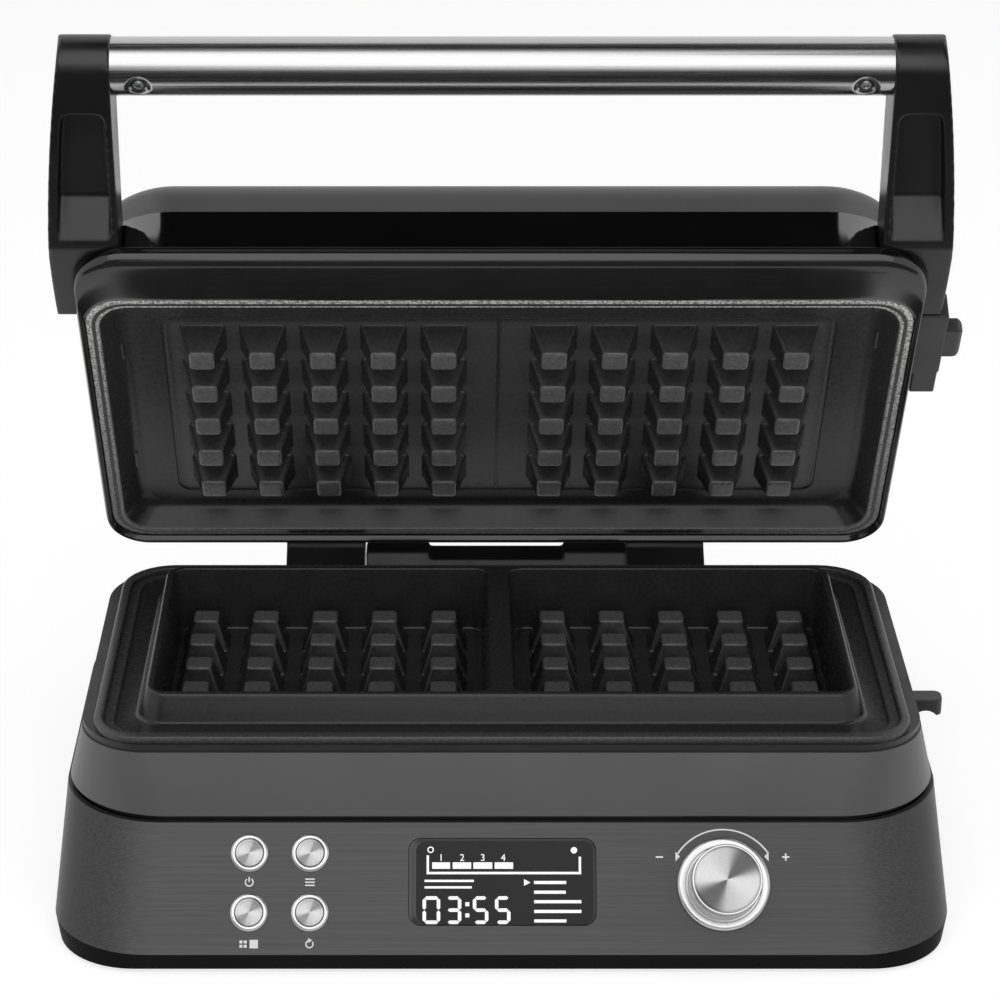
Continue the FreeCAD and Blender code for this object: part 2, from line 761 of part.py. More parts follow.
# Lid frame: rounded bezel, plate recess, side walls and the ledge for the reflector
bezel_round = 4.0
bezel_back_round = 0.7
recess = inset(flange_out, -0.3)
recess_top = 85.9
seat_open = (152.3, 73.8, 73.8, 12.0, 12.0)
seat_top = 88.4
wall_in = inset(lid_wall, lid_skin)
shelf_z = 101.0
shelf_top = 103.5
shelf_in = (142.0, 88.0, 68.0, 22.0, 9.0)
arm_screw_in = 7.8
arm_screw_gap = 17.0
arm_screw_x = (arm_in + arm_screw_in, arm_in + arm_screw_in + arm_screw_gap)
arm_screw_z = 98.0
side_screws = ((-65.0, 94.5), (-73.0, 97.0))
bracket_screw = (-30.0, 94.5)
lid_screw_x = 147.5
lid_screw_y = (-62.0, 60.0)
upper_lug_z0 = 91.5
upper_lug_z1 = 94.5
upper_lug_end = 154.7
upper_lug_y = (-47.0, -37.0)
tongue_low = 89.8
tongue_high = upper_lug_z0 - ease

lip = prism(bezel_out, bezel_z, bezel_top)
lip = lip.makeFillet(bezel_round, edges_at(lip, bezel_z))
lip = lip.makeFillet(bezel_back_round, edges_at(lip, bezel_top))
lid = joined(lip, [prism(lid_wall, bezel_z + bezel_round, shell_z)])
shelf = prism(wall_in, shelf_z, shelf_top).cut(prism(shelf_in, shelf_z - over, shelf_top + over))
cuts = [
    prism(recess, bezel_z - over, recess_top),
    prism(seat_open, recess_top - over, seat_top),
    prism(wall_in, seat_top, shell_z + over).cut(shelf),
]
lid = minus(lid, cuts)
boss_y0 = 71.5
boss_y1 = lid_wall[2] - lid_skin + slip
arm_spots = [side * x for side in (-1.0, 1.0) for x in arm_screw_x]
lid = joined(lid, [rod_y(x, boss_y0, boss_y1, arm_screw_z, boss_r) for x in arm_spots])
lid_spots = [(x, y) for x in (-lid_screw_x, lid_screw_x) for y in lid_screw_y]
cuts = [rod(x, y, shelf_z - over, shelf_top + over, screw_clear) for x, y in lid_spots]
cuts += [rod_y(x, boss_y0 - over, lid_wall[2] + over, arm_screw_z, screw_hole) for x in arm_spots]
inside = wall_in[0] - over
outside = lid_wall[0] + over
for y, z in side_screws:
    cuts += both_sides(rod_x(inside, outside, y, z, screw_clear))
    cuts += both_sides(rod_x(inside - screw_head_h, wall_in[0], y, z, head_bore))
cuts.append(rod_x(inside, outside, bracket_screw[0], bracket_screw[1], screw_clear))
lug_y0 = upper_lug_y[0] - lug_gap
lug_y1 = upper_lug_y[1] + lug_gap
pocket_end = upper_lug_end + ease
cuts.append(box(inside, outside, lug_y0, lug_y1, tongue_low - ease, tongue_high + ease))
cuts.append(box(inside, pocket_end, lug_y0, lug_y1, tongue_low - ease, upper_lug_z1 + lug_gap))
for y0, y1 in left_lugs:
    window = box(-pocket_end, -inside, y0 - lug_gap, y1 + lug_gap, upper_lug_z0 - lug_gap, upper_lug_z1 + lug_gap)
    cuts.append(window)
place("lid_frame", minus(lid, cuts), True)

# Lid shell with the bosses for its screws
shell_step = 0.3
shell_out = inset(lid_wall, shell_step)
pillar_r = 4.0
pillar_bore = 117.0
dome = prism(shell_out, shell_z, lid_top)
dome = dome.makeFillet(shell_round, edges_at(dome, lid_top))
core = prism(inset(shell_out, shell_wall), shell_z - over, lid_top - shell_wall)
core = core.makeFillet(shell_round - shell_wall, edges_at(core, lid_top - shell_wall))
pillars = [rod(x, y, shelf_top, lid_top, pillar_r) for x, y in lid_spots]
trim_to = joined(dome, [prism(inset(shell_out, shell_wall), shelf_top, shell_z)])
pillars = [pillar.common(trim_to) for pillar in pillars]
shell = joined(dome.cut(core), pillars)
bores = [rod(x, y, shelf_top - over, pillar_bore, screw_hole) for x, y in lid_spots]
place("lid_shell", minus(shell, bores), True)
place("lid_screws", group([screw_up(x, y, shelf_z, 15.0) for x, y in lid_spots]), True)

# Upper plate: flange, dish, studs, zone line and the latch lugs
zone_groove = 0.6
dish_out_low = inset(dish_mouth, -plate_wall)
dish_out_high = inset(dish_floor, -plate_wall)
flange_top = 85.7
cover = prism(flange_out, bezel_z, flange_top)
dish = tapered(dish_out_low, bezel_z, dish_out_high, upper_floor, bezel_z, upper_floor)
cover = joined(cover, [dish, prism(dish_out_high, upper_floor, upper_back)])
hollow = tapered(dish_mouth, bezel_z, dish_floor, upper_floor, bezel_z - over, upper_floor)
zone = prism(zone_line, upper_floor - over, upper_floor + zone_groove)
zone = zone.cut(prism(inset(zone_line, 1.2), upper_floor - 2.0, upper_floor + over))
cuts = [hollow, zone]
cuts.append(box(-0.6, 0.6, -zone_line[1], zone_line[2], upper_floor - over, upper_floor + zone_groove))
notch_in = dish_out_low[0] + 0.3
cuts += both_sides(box(notch_in, flange_out[0] + over, -14.0, 17.0, bezel_z - over, flange_top + over))
cover = minus(cover, cuts)
lug_root = dish_floor[0]
lugs = [box(lug_root, upper_lug_end, upper_lug_y[0], upper_lug_y[1], upper_lug_z0, upper_lug_z1)]
lugs += [box(-upper_lug_end, -lug_root, y0, y1, upper_lug_z0, upper_lug_z1) for y0, y1 in left_lugs]
lugs = [lug.cut(hollow) for lug in lugs]
place("upper_plate", joined(cover, studs(upper_floor, -1.0) + lugs), True)

# Reflector, heating element and sensor in the lid
cap_z = 107.7
hat_edge = 1.0
hat_gap = 0.3
hat = prism(inset(shelf_in, -hat_edge), shelf_top, shelf_top + sheet)
hat = joined(hat, [prism(inset(shelf_in, hat_gap), shelf_top, cap_z + sheet)])
cuts = [prism(inset(shelf_in, hat_gap + sheet), shelf_top - over, cap_z)]
cuts += [rod(x, heater_rear, cap_z - over, cap_z + over, leg_hole) for x in (-heater_end, heater_end)]
place("upper_reflector", minus(hat, cuts), True)
upper_heater_z = upper_back + heater_gap + heater_r
leg_stand = 9.3
upper_leg = cap_z + leg_stand
place("upper_heater", bent_tube(heater_path(upper_heater_z, upper_leg), heater_bend, heater_r), True)
place("upper_heater_clips", saddles(upper_heater_z, cap_z, upper_heater_z, upper_leg), True)
probe = joined(rod(0.0, 0.0, upper_back + heater_gap, cap_z, 4.0), [rod(0.0, 0.0, cap_z - 1.5, cap_z, 7.0)])
place("upper_sensor", probe, True)

# Hinge arms under the rear edge of the lid
arm_top = 102.0
arm_seat = bezel_out[2] + slip
arm_back = 93.5
arm_view = [
    (hinge_y - barrel_r, hinge_z), (hinge_y + barrel_r, hinge_z), (arm_back, bezel_z), (arm_back, arm_top),
    (arm_seat, arm_top), (arm_seat, bezel_z + 1.0), (hinge_y - barrel_r, bezel_z - 2.0),
]
arm = side_view(arm_view, arm_in, arm_out)
arm = joined(arm, [rod_x(arm_in, arm_out, hinge_y, hinge_z, barrel_r)])
cuts = [rod_x(arm_in - over, arm_out + over, hinge_y, hinge_z, bush_r + 0.02)]
seat_y = 90.0
for x in arm_screw_x:
    cuts.append(rod_y(x, arm_seat - over, arm_back + over, arm_screw_z, screw_clear))
    cuts.append(rod_y(x, seat_y, arm_back + over, arm_screw_z, head_bore))
arm = minus(arm, cuts)
place("hinge_arm_right", arm, True)
place("hinge_arm_left", mirrored(arm), True)
bush = rod_x(arm_in, arm_out, hinge_y, hinge_z, bush_r)
bush = bush.cut(rod_x(arm_in - over, arm_out + over, hinge_y, hinge_z, pin_r + slip))
place("hinge_bushes", group(both_sides(bush)), True)
arm_screws = [screw_along_y(x, seat_y, arm_screw_z, seat_y - boss_y0 - over, -1.0) for x in arm_spots]
place("hinge_arm_screws", group(arm_screws), True)

# Handle arms, cut to the lid, with a hollow in the underside and a spigot for the tube
arm_low = (-100.5, 87.5)
arm_high = (-97.0, 107.0)
arm_rear = -61.0
wall_screw = 9.0
screw_wall = wall_in[0]


def touch(point, way):
    # where a line from the point touches the rounded end of the arm
    dy = tube_y - point[0]
    dz = tube_z - point[1]
    reach = math.hypot(dy, dz)
    turn = math.atan2(dz, dy) + way * math.asin(arm_wrap / reach)
    run = math.sqrt(reach * reach - arm_wrap * arm_wrap)
    return (point[0] + run * math.cos(turn), point[1] + run * math.sin(turn))


arm_side_low = 88.5
arm_side_high = 101.0
profile = [arm_low, touch(arm_low, 1.0), (tube_y, tube_z), touch(arm_high, -1.0), arm_high]
profile += [(arm_rear, arm_side_high), (arm_rear, arm_side_low)]
bow_front = (158.0, -172.0)
bow_mid = (164.4, -124.0)
bow_rear = (166.4, arm_rear + over)


def arm_plan(inward):
    # the arm seen from above, with its bowed outer face moved in by a wall
    low = table_z
    tip = Vector(bow_front[0] - inward, bow_front[1], low)
    mid = Vector(bow_mid[0] - inward, bow_mid[1], low)
    end = Vector(bow_rear[0] - inward, bow_rear[1], low)
    inner_end = Vector(arm_face + inward - over, bow_rear[1], low)
    inner_tip = Vector(arm_face + inward - over, bow_front[1], low)
    lines = [Part.Arc(tip, mid, end).toShape(), Part.makeLine(end, inner_end)]
    lines += [Part.makeLine(inner_end, inner_tip), Part.makeLine(inner_tip, tip)]
    return Part.Face(Part.Wire(lines)).extrude(Vector(0, 0, 2.0 * lid_top))


slab = side_view(profile, arm_face, bow_rear[0] + over)
slab = joined(slab, [rod_x(arm_face, bow_rear[0] + over, tube_y, tube_z, arm_wrap)])
slab = slab.common(arm_plan(0.0))
lid_body = prism(inset(bezel_out, -slip), bezel_z - over, bezel_top + slip)
lid_body = lid_body.fuse(prism(inset(lid_wall, -slip), bezel_z, lid_top))
pocket_wall = 3.6
pocket_front = (-156.0, 98.0)
pocket_deep = (-146.5, 114.5)
pocket_rear = -102.4
pocket_round = 4.5
pocket_view = [pocket_front, pocket_deep, (-113.0, 103.0), (pocket_rear, 87.0)]
pocket_view += [(pocket_rear, 80.0), (pocket_front[0], 80.0)]
pocket = side_view(pocket_view, arm_face, bow_rear[0]).common(arm_plan(pocket_wall))
pocket = pocket.makeFillet(pocket_round, edges_between(pocket, pocket_front, pocket_deep))
slab = minus(slab, [lid_body, pocket])
spigot_r = tube_r - tube_wall - slip
slab = joined(slab, [rod_x(arm_face - spigot_len, arm_face + 2.0, tube_y, tube_z, spigot_r)])
cuts = [rod_x(inside, screw_wall + wall_screw + over, y, z, screw_hole) for y, z in side_screws]
cuts.append(rod(handle_screw_x, tube_y, tube_z - tube_r - 2.0, tube_z - 2.0, screw_hole))
slab = minus(slab, cuts)
place("handle_arm_right", slab, True)
place("handle_arm_left", mirrored(slab), True)

# Handle tube and its screws
tube = rod_x(-arm_face + slip, arm_face - slip, tube_y, tube_z, tube_r)
head_sink = 0.8
head_seat = tube_z - tube_r + head_sink
cuts = [rod_x(-arm_face, arm_face, tube_y, tube_z, tube_r - tube_wall)]
for x in (-handle_screw_x, handle_screw_x):
    cuts.append(rod(x, tube_y, tube_z - tube_r - over, tube_z - 2.0, screw_clear))
    cuts.append(rod(x, tube_y, tube_z - tube_r - over, head_seat, head_bore))
place("handle_tube", minus(tube, cuts), True)
handle_screws = [screw_up(x, tube_y, head_seat, 7.0) for x in (-handle_screw_x, handle_screw_x)]
place("handle_screws", group(handle_screws), True)

# Upper latch in its bracket, and the screws that hold the bracket and the handle arms
bracket_y0 = arm_rear + 0.5
bracket_y1 = -26.5
bracket_z0 = bezel_top + 0.1
bracket_z1 = 99.5
slider_z1 = 96.6
bracket_end = 169.5
slider_gap = 0.5
slider_in = 156.5
slider_end = 176.5
slider_round = 2.5
tongue_in = 151.6
peg_y = -14.0
peg_run = 10.5
peg_out = bezel_out[0] + peg_run
bracket = box(lid_wall[0] + slip, bracket_end, bracket_y0, bracket_y1, bracket_z0, bracket_z1)
peg = box(bezel_out[0] + over, peg_out, bracket_y1, peg_y, bracket_z0, bracket_z0 + 4.0)
cuts = [box(inside, bracket_end + over, upper_latch_y0 - slider_gap, upper_latch_y1 + slider_gap,
            tongue_low - ease, slider_z1 + slider_gap)]
cuts.append(rod_x(inside, screw_wall + wall_screw + over, bracket_screw[0], bracket_screw[1], screw_hole))
place("latch_bracket", minus(joined(bracket, [peg]), cuts), True)
slider = box(slider_in, slider_end, upper_latch_y0, upper_latch_y1, tongue_low, slider_z1)
slider_edges = [e for e in slider.Edges if e.BoundBox.XMin > slider_end - 1e-4]
slider = slider.makeFillet(slider_round, slider_edges)
tongue = box(tongue_in, slider_in + over, upper_lug_y[0], upper_lug_y[1], tongue_low, tongue_high)
place("upper_latch", joined(slider, [tongue]), True)
wall_screws = []
for y, z in side_screws:
    wall_screws += both_sides(screw_along_x(screw_wall, y, z, wall_screw))
wall_screws.append(screw_along_x(screw_wall, bracket_screw[0], bracket_screw[1], wall_screw))
place("side_screws", group(wall_screws), True)
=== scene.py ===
import bpy
import bmesh
import json
import math
from mathutils import Matrix, Vector


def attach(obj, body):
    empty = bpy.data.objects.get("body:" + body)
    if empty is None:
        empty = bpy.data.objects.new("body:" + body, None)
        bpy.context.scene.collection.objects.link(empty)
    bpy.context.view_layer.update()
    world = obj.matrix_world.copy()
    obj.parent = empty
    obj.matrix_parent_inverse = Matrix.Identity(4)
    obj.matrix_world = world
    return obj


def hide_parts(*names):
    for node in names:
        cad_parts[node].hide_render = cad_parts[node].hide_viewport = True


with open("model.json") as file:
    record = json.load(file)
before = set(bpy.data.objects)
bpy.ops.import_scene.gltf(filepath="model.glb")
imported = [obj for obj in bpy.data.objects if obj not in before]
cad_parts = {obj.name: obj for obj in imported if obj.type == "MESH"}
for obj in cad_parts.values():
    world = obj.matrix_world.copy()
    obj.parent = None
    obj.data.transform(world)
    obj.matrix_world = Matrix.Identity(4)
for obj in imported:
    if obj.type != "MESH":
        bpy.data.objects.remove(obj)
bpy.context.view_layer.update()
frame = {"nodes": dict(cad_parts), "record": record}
nodes = frame["nodes"]
scene = bpy.context.scene
mm = 0.001
print("frame loaded with", len(nodes), "solids")

# Where the drawing sits: lid pieces are drawn closed and then opened round the hinge line
drawing = {"gridShift": 13.85, "tableDrop": 4.4, "hingeY": 90.4, "hingeZ": 42.2, "lidOpen": 58.7}
panelFace = {"topY": -80.4, "topZ": 51.0, "footY": -107.7, "footZ": 12.8}

basePlace = Matrix.Translation((0, drawing["gridShift"] * mm, -drawing["tableDrop"] * mm))
hingeSpot = Vector((0, drawing["hingeY"] * mm, drawing["hingeZ"] * mm))
lidTurn = Matrix.Rotation(-math.radians(drawing["lidOpen"]), 4, "X")
lidPlace = basePlace @ Matrix.Translation(hingeSpot) @ lidTurn @ Matrix.Translation(-hingeSpot)
panelTilt = math.atan2(panelFace["topY"] - panelFace["footY"], panelFace["topZ"] - panelFace["footZ"])
panelUp = Vector((0, math.sin(panelTilt), math.cos(panelTilt)))
panelOut = Vector((0, -math.cos(panelTilt), math.sin(panelTilt)))
panelTop = Vector((0, panelFace["topY"] * mm, panelFace["topZ"] * mm))
panelPlace = basePlace @ Matrix((
    (1, 0, 0, 0),
    (0, panelUp.y, panelOut.y, panelTop.y),
    (0, panelUp.z, panelOut.z, panelTop.z),
    (0, 0, 0, 1),
))


def hexLinear(code):
    parts = [int(code[i:i + 2], 16) / 255 for i in (1, 3, 5)]
    return tuple(c / 12.92 if c <= 0.04045 else ((c + 0.055) / 1.055) ** 2.4 for c in parts) + (1.0,)


def addNode(tree, kind, inputs=None, **settings):
    # an input is a plain value, a socket, or a node that gives its first output
    node = tree.nodes.new(kind)
    for key, value in settings.items():
        setattr(node, key, value)
    for key, value in (inputs or {}).items():
        if isinstance(value, bpy.types.Node):
            value = value.outputs[0]
        if isinstance(value, bpy.types.NodeSocket):
            tree.links.new(value, node.inputs[key])
        else:
            node.inputs[key].default_value = value
    return node


# Materials

noiseSpread = {"From Min": 0.3, "From Max": 0.7}  # most of a noise lies between these
brushNoise = {"Scale": 1.0, "Detail": 3.0, "Roughness": 0.6}
mapWidth = 6.0  # width of a turned piece's map for one full turn


def startMaterial(name):
    material = bpy.data.materials.new(name)
    material.use_nodes = True
    material.node_tree.nodes.clear()
    return material, material.node_tree


def finishMaterial(material, inputs):
    shader = addNode(material.node_tree, "ShaderNodeBsdfPrincipled", inputs)
    addNode(material.node_tree, "ShaderNodeOutputMaterial", {"Surface": shader})
    return material


def makeSatinPaint():
    # Baked satin paint on pressed aluminium: even dark grey, faint orange peel about 1.5 mm across
    look = {
        "deep": "#484848", "pale": "#505050", "peel": 1.5, "drift": 45.0, "rough": (0.36, 0.46),
        "depth": 0.03,
    }
    material, tree = startMaterial("satinPaintAluminium")
    coord = addNode(tree, "ShaderNodeTexCoord").outputs["Object"]
    drift = addNode(tree, "ShaderNodeTexNoise", {
        "Vector": coord, "Scale": 1 / (look["drift"] * mm), "Detail": 3.0})
    peel = addNode(tree, "ShaderNodeTexNoise", {
        "Vector": coord, "Scale": 1 / (look["peel"] * mm), "Detail": 2.0})
    colour = addNode(tree, "ShaderNodeMix", {
        0: drift, 6: hexLinear(look["deep"]), 7: hexLinear(look["pale"])}, data_type="RGBA")
    rough = addNode(tree, "ShaderNodeMapRange", {
        "Value": drift, "To Min": look["rough"][0], "To Max": look["rough"][1]})
    bump = addNode(tree, "ShaderNodeBump", {
        "Height": peel, "Strength": 0.25, "Distance": look["depth"] * mm})
    return finishMaterial(material, {
        "Base Color": colour.outputs[2], "Roughness": rough, "Normal": bump, "IOR": 1.5})


def makeBrushedDark():
    # Dark tinted steel sheet, brushed along its length: fine streaks and a soft sheen
    # real brush lines are near 0.1 mm, drawn at 0.5 mm so that they show
    look = {
        "deep": "#383838", "pale": "#494949", "streakLength": 60.0, "streakWidth": 0.5,
        "rough": (0.34, 0.46), "depth": 0.05, "turnStart": 0.55, "turnEnd": 0.85,
    }
    material, tree = startMaterial("brushedDarkSteel")
    coord = addNode(tree, "ShaderNodeTexCoord").outputs["Object"]
    long, fine = 1 / (look["streakLength"] * mm), 1 / (look["streakWidth"] * mm)
    streaks = []
    for stretch in ((long, fine, fine), (fine, long, fine)):
        along = addNode(tree, "ShaderNodeMapping", {"Vector": coord, "Scale": stretch})
        streaks.append(addNode(tree, "ShaderNodeTexNoise", {"Vector": along, **brushNoise}))
    # the ends of the casing face sideways, and there the streaks run from front to back
    geometry = addNode(tree, "ShaderNodeNewGeometry")
    facing = addNode(tree, "ShaderNodeSeparateXYZ", {0: geometry.outputs["True Normal"]})
    sideways = addNode(tree, "ShaderNodeMath", {0: facing}, operation="ABSOLUTE")
    turn = addNode(tree, "ShaderNodeMapRange", {
        "Value": sideways, "From Min": look["turnStart"], "From Max": look["turnEnd"]})
    streak = addNode(tree, "ShaderNodeMix", {0: turn, 2: streaks[0], 3: streaks[1]}, data_type="FLOAT")
    level = addNode(tree, "ShaderNodeMapRange", {"Value": streak, **noiseSpread})
    colour = addNode(tree, "ShaderNodeMix", {
        0: level, 6: hexLinear(look["deep"]), 7: hexLinear(look["pale"])}, data_type="RGBA")
    rough = addNode(tree, "ShaderNodeMapRange", {
        "Value": level, "To Min": look["rough"][0], "To Max": look["rough"][1]})
    bump = addNode(tree, "ShaderNodeBump", {
        "Height": streak, "Strength": 0.12, "Distance": look["depth"] * mm})
    return finishMaterial(material, {
        "Base Color": colour.outputs[2], "Roughness": rough, "Normal": bump, "Metallic": 0.75,
        "Anisotropic": 0.4})


def makeMouldedBlack(name, deep, pale, roughLow, roughHigh, grain, depth, shine=0.5):
    # Black ABS from a spark eroded mould: an even, finely grained satin skin
    # real grain is near 0.2 mm, drawn coarser so that it shows
    drift = 25.0
    material, tree = startMaterial(name)
    coord = addNode(tree, "ShaderNodeTexCoord").outputs["Object"]
    fine = addNode(tree, "ShaderNodeTexNoise", {
        "Vector": coord, "Scale": 1 / (grain * mm), "Detail": 4.0, "Roughness": 0.6})
    broad = addNode(tree, "ShaderNodeTexNoise", {"Vector": coord, "Scale": 1 / (drift * mm), "Detail": 2.0})
    colour = addNode(tree, "ShaderNodeMix", {
        0: broad, 6: hexLinear(deep), 7: hexLinear(pale)}, data_type="RGBA")
    rough = addNode(tree, "ShaderNodeMapRange", {
        "Value": broad, **noiseSpread, "To Min": roughLow, "To Max": roughHigh})
    bump = addNode(tree, "ShaderNodeBump", {"Height": fine, "Strength": 0.35, "Distance": depth * mm})
    return finishMaterial(material, {
        "Base Color": colour.outputs[2], "Roughness": rough, "Normal": bump, "IOR": 1.52,
        "Specular IOR Level": shine})


def makeNonstick():
    # Cast aluminium under a sprayed black non-stick coat: semi gloss, slightly pebbled;
    # where the attribute wearAndSheen is low the coat is painted paler, as painted sheen on stud tips and
    # floors and painted highlight lines on rim edges;
    # where high it is rubbed to bare flecks, real wear that also paints the bright lines of the flange
    look = {
        "deep": "#212121", "pale": "#2c2c2c", "sheenTone": "#585858", "bare": "#d2d2d0", "pebble": 1.6,
        "fleck": 0.9, "fleckStart": 0.4, "fleckEnd": 0.58, "sheenFull": 0.45, "bareMetal": 0.35,
        "rough": (0.24, 0.32), "depth": 0.05,
    }
    material, tree = startMaterial("nonstickCoat")
    coord = addNode(tree, "ShaderNodeTexCoord").outputs["Object"]
    pebble = addNode(tree, "ShaderNodeTexNoise", {
        "Vector": coord, "Scale": 1 / (look["pebble"] * mm), "Detail": 3.0})
    fleck = addNode(tree, "ShaderNodeTexNoise", {
        "Vector": coord, "Scale": 1 / (look["fleck"] * mm), "Detail": 4.0})
    wearAndSheen = addNode(tree, "ShaderNodeAttribute", attribute_name="wearAndSheen").outputs["Fac"]
    patch = addNode(tree, "ShaderNodeMapRange", {
        "Value": fleck, "From Min": look["fleckStart"], "From Max": look["fleckEnd"]})
    sheenShare = addNode(tree, "ShaderNodeMapRange", {"Value": wearAndSheen, "From Max": look["sheenFull"]})
    strong = addNode(tree, "ShaderNodeMath", {0: wearAndSheen, 1: 2.0}, operation="POWER")
    rubbedAndGlint = addNode(tree, "ShaderNodeMath", {0: strong, 1: patch}, operation="MULTIPLY")
    coat = addNode(tree, "ShaderNodeMix", {
        0: pebble, 6: hexLinear(look["deep"]), 7: hexLinear(look["pale"])}, data_type="RGBA")
    sheenedCoat = addNode(tree, "ShaderNodeMix", {
        0: sheenShare, 6: coat.outputs[2], 7: hexLinear(look["sheenTone"])}, data_type="RGBA")
    colour = addNode(tree, "ShaderNodeMix", {
        0: rubbedAndGlint, 6: sheenedCoat.outputs[2], 7: hexLinear(look["bare"])}, data_type="RGBA")
    rough = addNode(tree, "ShaderNodeMapRange", {
        "Value": pebble, **noiseSpread, "To Min": look["rough"][0], "To Max": look["rough"][1]})
    bump = addNode(tree, "ShaderNodeBump", {
        "Height": pebble, "Strength": 0.12, "Distance": look["depth"] * mm})
    metal = addNode(tree, "ShaderNodeMath", {0: rubbedAndGlint, 1: look["bareMetal"]}, operation="MULTIPLY")
    return finishMaterial(material, {
        "Base Color": colour.outputs[2], "Metallic": metal, "Roughness": rough, "Normal": bump, "IOR": 1.45,
        "Specular IOR Level": 0.35})


def makeBrushedTube():
    # Stainless tube, brushed along its length: bright bands with hairline streaks
    look = {
        "deep": "#9e9e9e", "pale": "#cccccc", "streakLength": 90.0, "streakWidth": 0.35,
        "rough": (0.16, 0.3), "depth": 0.03,
    }
    material, tree = startMaterial("brushedStainless")
    coord = addNode(tree, "ShaderNodeTexCoord").outputs["Object"]
    long, fine = 1 / (look["streakLength"] * mm), 1 / (look["streakWidth"] * mm)
    stretch = addNode(tree, "ShaderNodeMapping", {"Vector": coord, "Scale": (long, fine, fine)})
    streak = addNode(tree, "ShaderNodeTexNoise", {"Vector": stretch, **brushNoise})
    colour = addNode(tree, "ShaderNodeMix", {
        0: streak, 6: hexLinear(look["deep"]), 7: hexLinear(look["pale"])}, data_type="RGBA")
    rough = addNode(tree, "ShaderNodeMapRange", {
        "Value": streak, **noiseSpread, "To Min": look["rough"][0], "To Max": look["rough"][1]})
    bump = addNode(tree, "ShaderNodeBump", {
        "Height": streak, "Strength": 0.15, "Distance": look["depth"] * mm})
    return finishMaterial(material, {
        "Base Color": colour.outputs[2], "Roughness": rough, "Normal": bump, "Metallic": 1.0})


def makeSpunMetal(name, paintedShadeShare, paintedShadeStart):
    # Aluminium face turned on a lathe: rings round the middle that fan the light out; two wedges of painted
    # shade stand for the dark sectors of that fanned reflection
    look = {
        "deep": "#a9a9a9", "pale": "#cfcfcf", "paintedShadeTone": "#5e5e5e", "ring": 0.22, "ringsAround": 3.0,
        "fanTurn": 45.0, "fanEnd": 0.95, "depth": 0.03,
    }
    material, tree = startMaterial(name)
    polar = addNode(tree, "ShaderNodeUVMap", uv_map="turned")
    stretch = addNode(tree, "ShaderNodeMapping", {
        "Vector": polar, "Scale": (look["ringsAround"], 1 / look["ring"], 1.0)})
    rings = addNode(tree, "ShaderNodeTexNoise", {"Vector": stretch, "Scale": 1.0, "Detail": 2.0})
    tangent = addNode(tree, "ShaderNodeTangent", direction_type="UV_MAP", uv_map="turned")
    metal = addNode(tree, "ShaderNodeMix", {
        0: rings, 6: hexLinear(look["deep"]), 7: hexLinear(look["pale"])}, data_type="RGBA")
    # painted shade: two dark wedges opposite each other, from twice the angle round the middle, where the
    # fanned reflection falls dark
    angle = addNode(tree, "ShaderNodeSeparateXYZ", {0: polar})
    doubled = addNode(tree, "ShaderNodeMath", {
        0: angle, 1: 4 * math.pi / mapWidth, 2: -math.radians(2 * look["fanTurn"])}, operation="MULTIPLY_ADD")
    wave = addNode(tree, "ShaderNodeMath", {0: doubled}, operation="COSINE")
    paintedWedges = addNode(tree, "ShaderNodeMapRange", {
        "Value": wave, "From Min": paintedShadeStart, "From Max": look["fanEnd"], "To Max": paintedShadeShare},
        interpolation_type="SMOOTHSTEP")
    colour = addNode(tree, "ShaderNodeMix", {
        0: paintedWedges, 6: metal.outputs[2], 7: hexLinear(look["paintedShadeTone"])}, data_type="RGBA")
    bump = addNode(tree, "ShaderNodeBump", {
        "Height": rings, "Strength": 0.12, "Distance": look["depth"] * mm})
    return finishMaterial(material, {
        "Base Color": colour.outputs[2], "Tangent": tangent, "Normal": bump, "Metallic": 1.0,
        "Roughness": 0.42, "Anisotropic": 0.95, "Anisotropic Rotation": 0.25})


def makePlainMetal(name, deep, pale, roughLow, roughHigh, grain):
    # Plain machined or plated metal with a little mottling
    material, tree = startMaterial(name)
    coord = addNode(tree, "ShaderNodeTexCoord").outputs["Object"]
    mottle = addNode(tree, "ShaderNodeTexNoise", {"Vector": coord, "Scale": 1 / (grain * mm), "Detail": 3.0})
    colour = addNode(tree, "ShaderNodeMix", {
        0: mottle, 6: hexLinear(deep), 7: hexLinear(pale)}, data_type="RGBA")
    rough = addNode(tree, "ShaderNodeMapRange", {
        "Value": mottle, **noiseSpread, "To Min": roughLow, "To Max": roughHigh})
    return finishMaterial(material, {"Base Color": colour.outputs[2], "Roughness": rough, "Metallic": 1.0})


def makeFlatInk(name, code, glow):
    # Screen print or a lit segment: pale, dead matt, a little uneven
    speck = 0.4
    material, tree = startMaterial(name)
    coord = addNode(tree, "ShaderNodeTexCoord").outputs["Object"]
    uneven = addNode(tree, "ShaderNodeTexNoise", {"Vector": coord, "Scale": 1 / (speck * mm), "Detail": 2.0})
    rough = addNode(tree, "ShaderNodeMapRange", {"Value": uneven, "To Min": 0.5, "To Max": 0.7})
    return finishMaterial(material, {
        "Base Color": hexLinear(code), "Roughness": rough, "Emission Color": hexLinear(code),
        "Emission Strength": glow})


satinPaint = makeSatinPaint()
brushedDark = makeBrushedDark()
# moulded and coated finishes: tones, roughness from and to, grain and its depth in mm, shine
# plain moulded ABS: dull black, an even fine grain
matteBlack = makeMouldedBlack("mouldedBlackAbs", "#151516", "#1d1d1e", 0.38, 0.5, 0.5, 0.03)
# smoother ABS: deeper black with a soft gloss
armBlack = makeMouldedBlack("satinBlackAbs", "#0c0c0c", "#111111", 0.28, 0.4, 0.6, 0.02, 0.4)
# coarse ABS: dull, almost without shine
trayBlack = makeMouldedBlack("dullBlackAbs", "#0a0a0a", "#0f0f0f", 0.45, 0.6, 0.5, 0.03, 0.05)
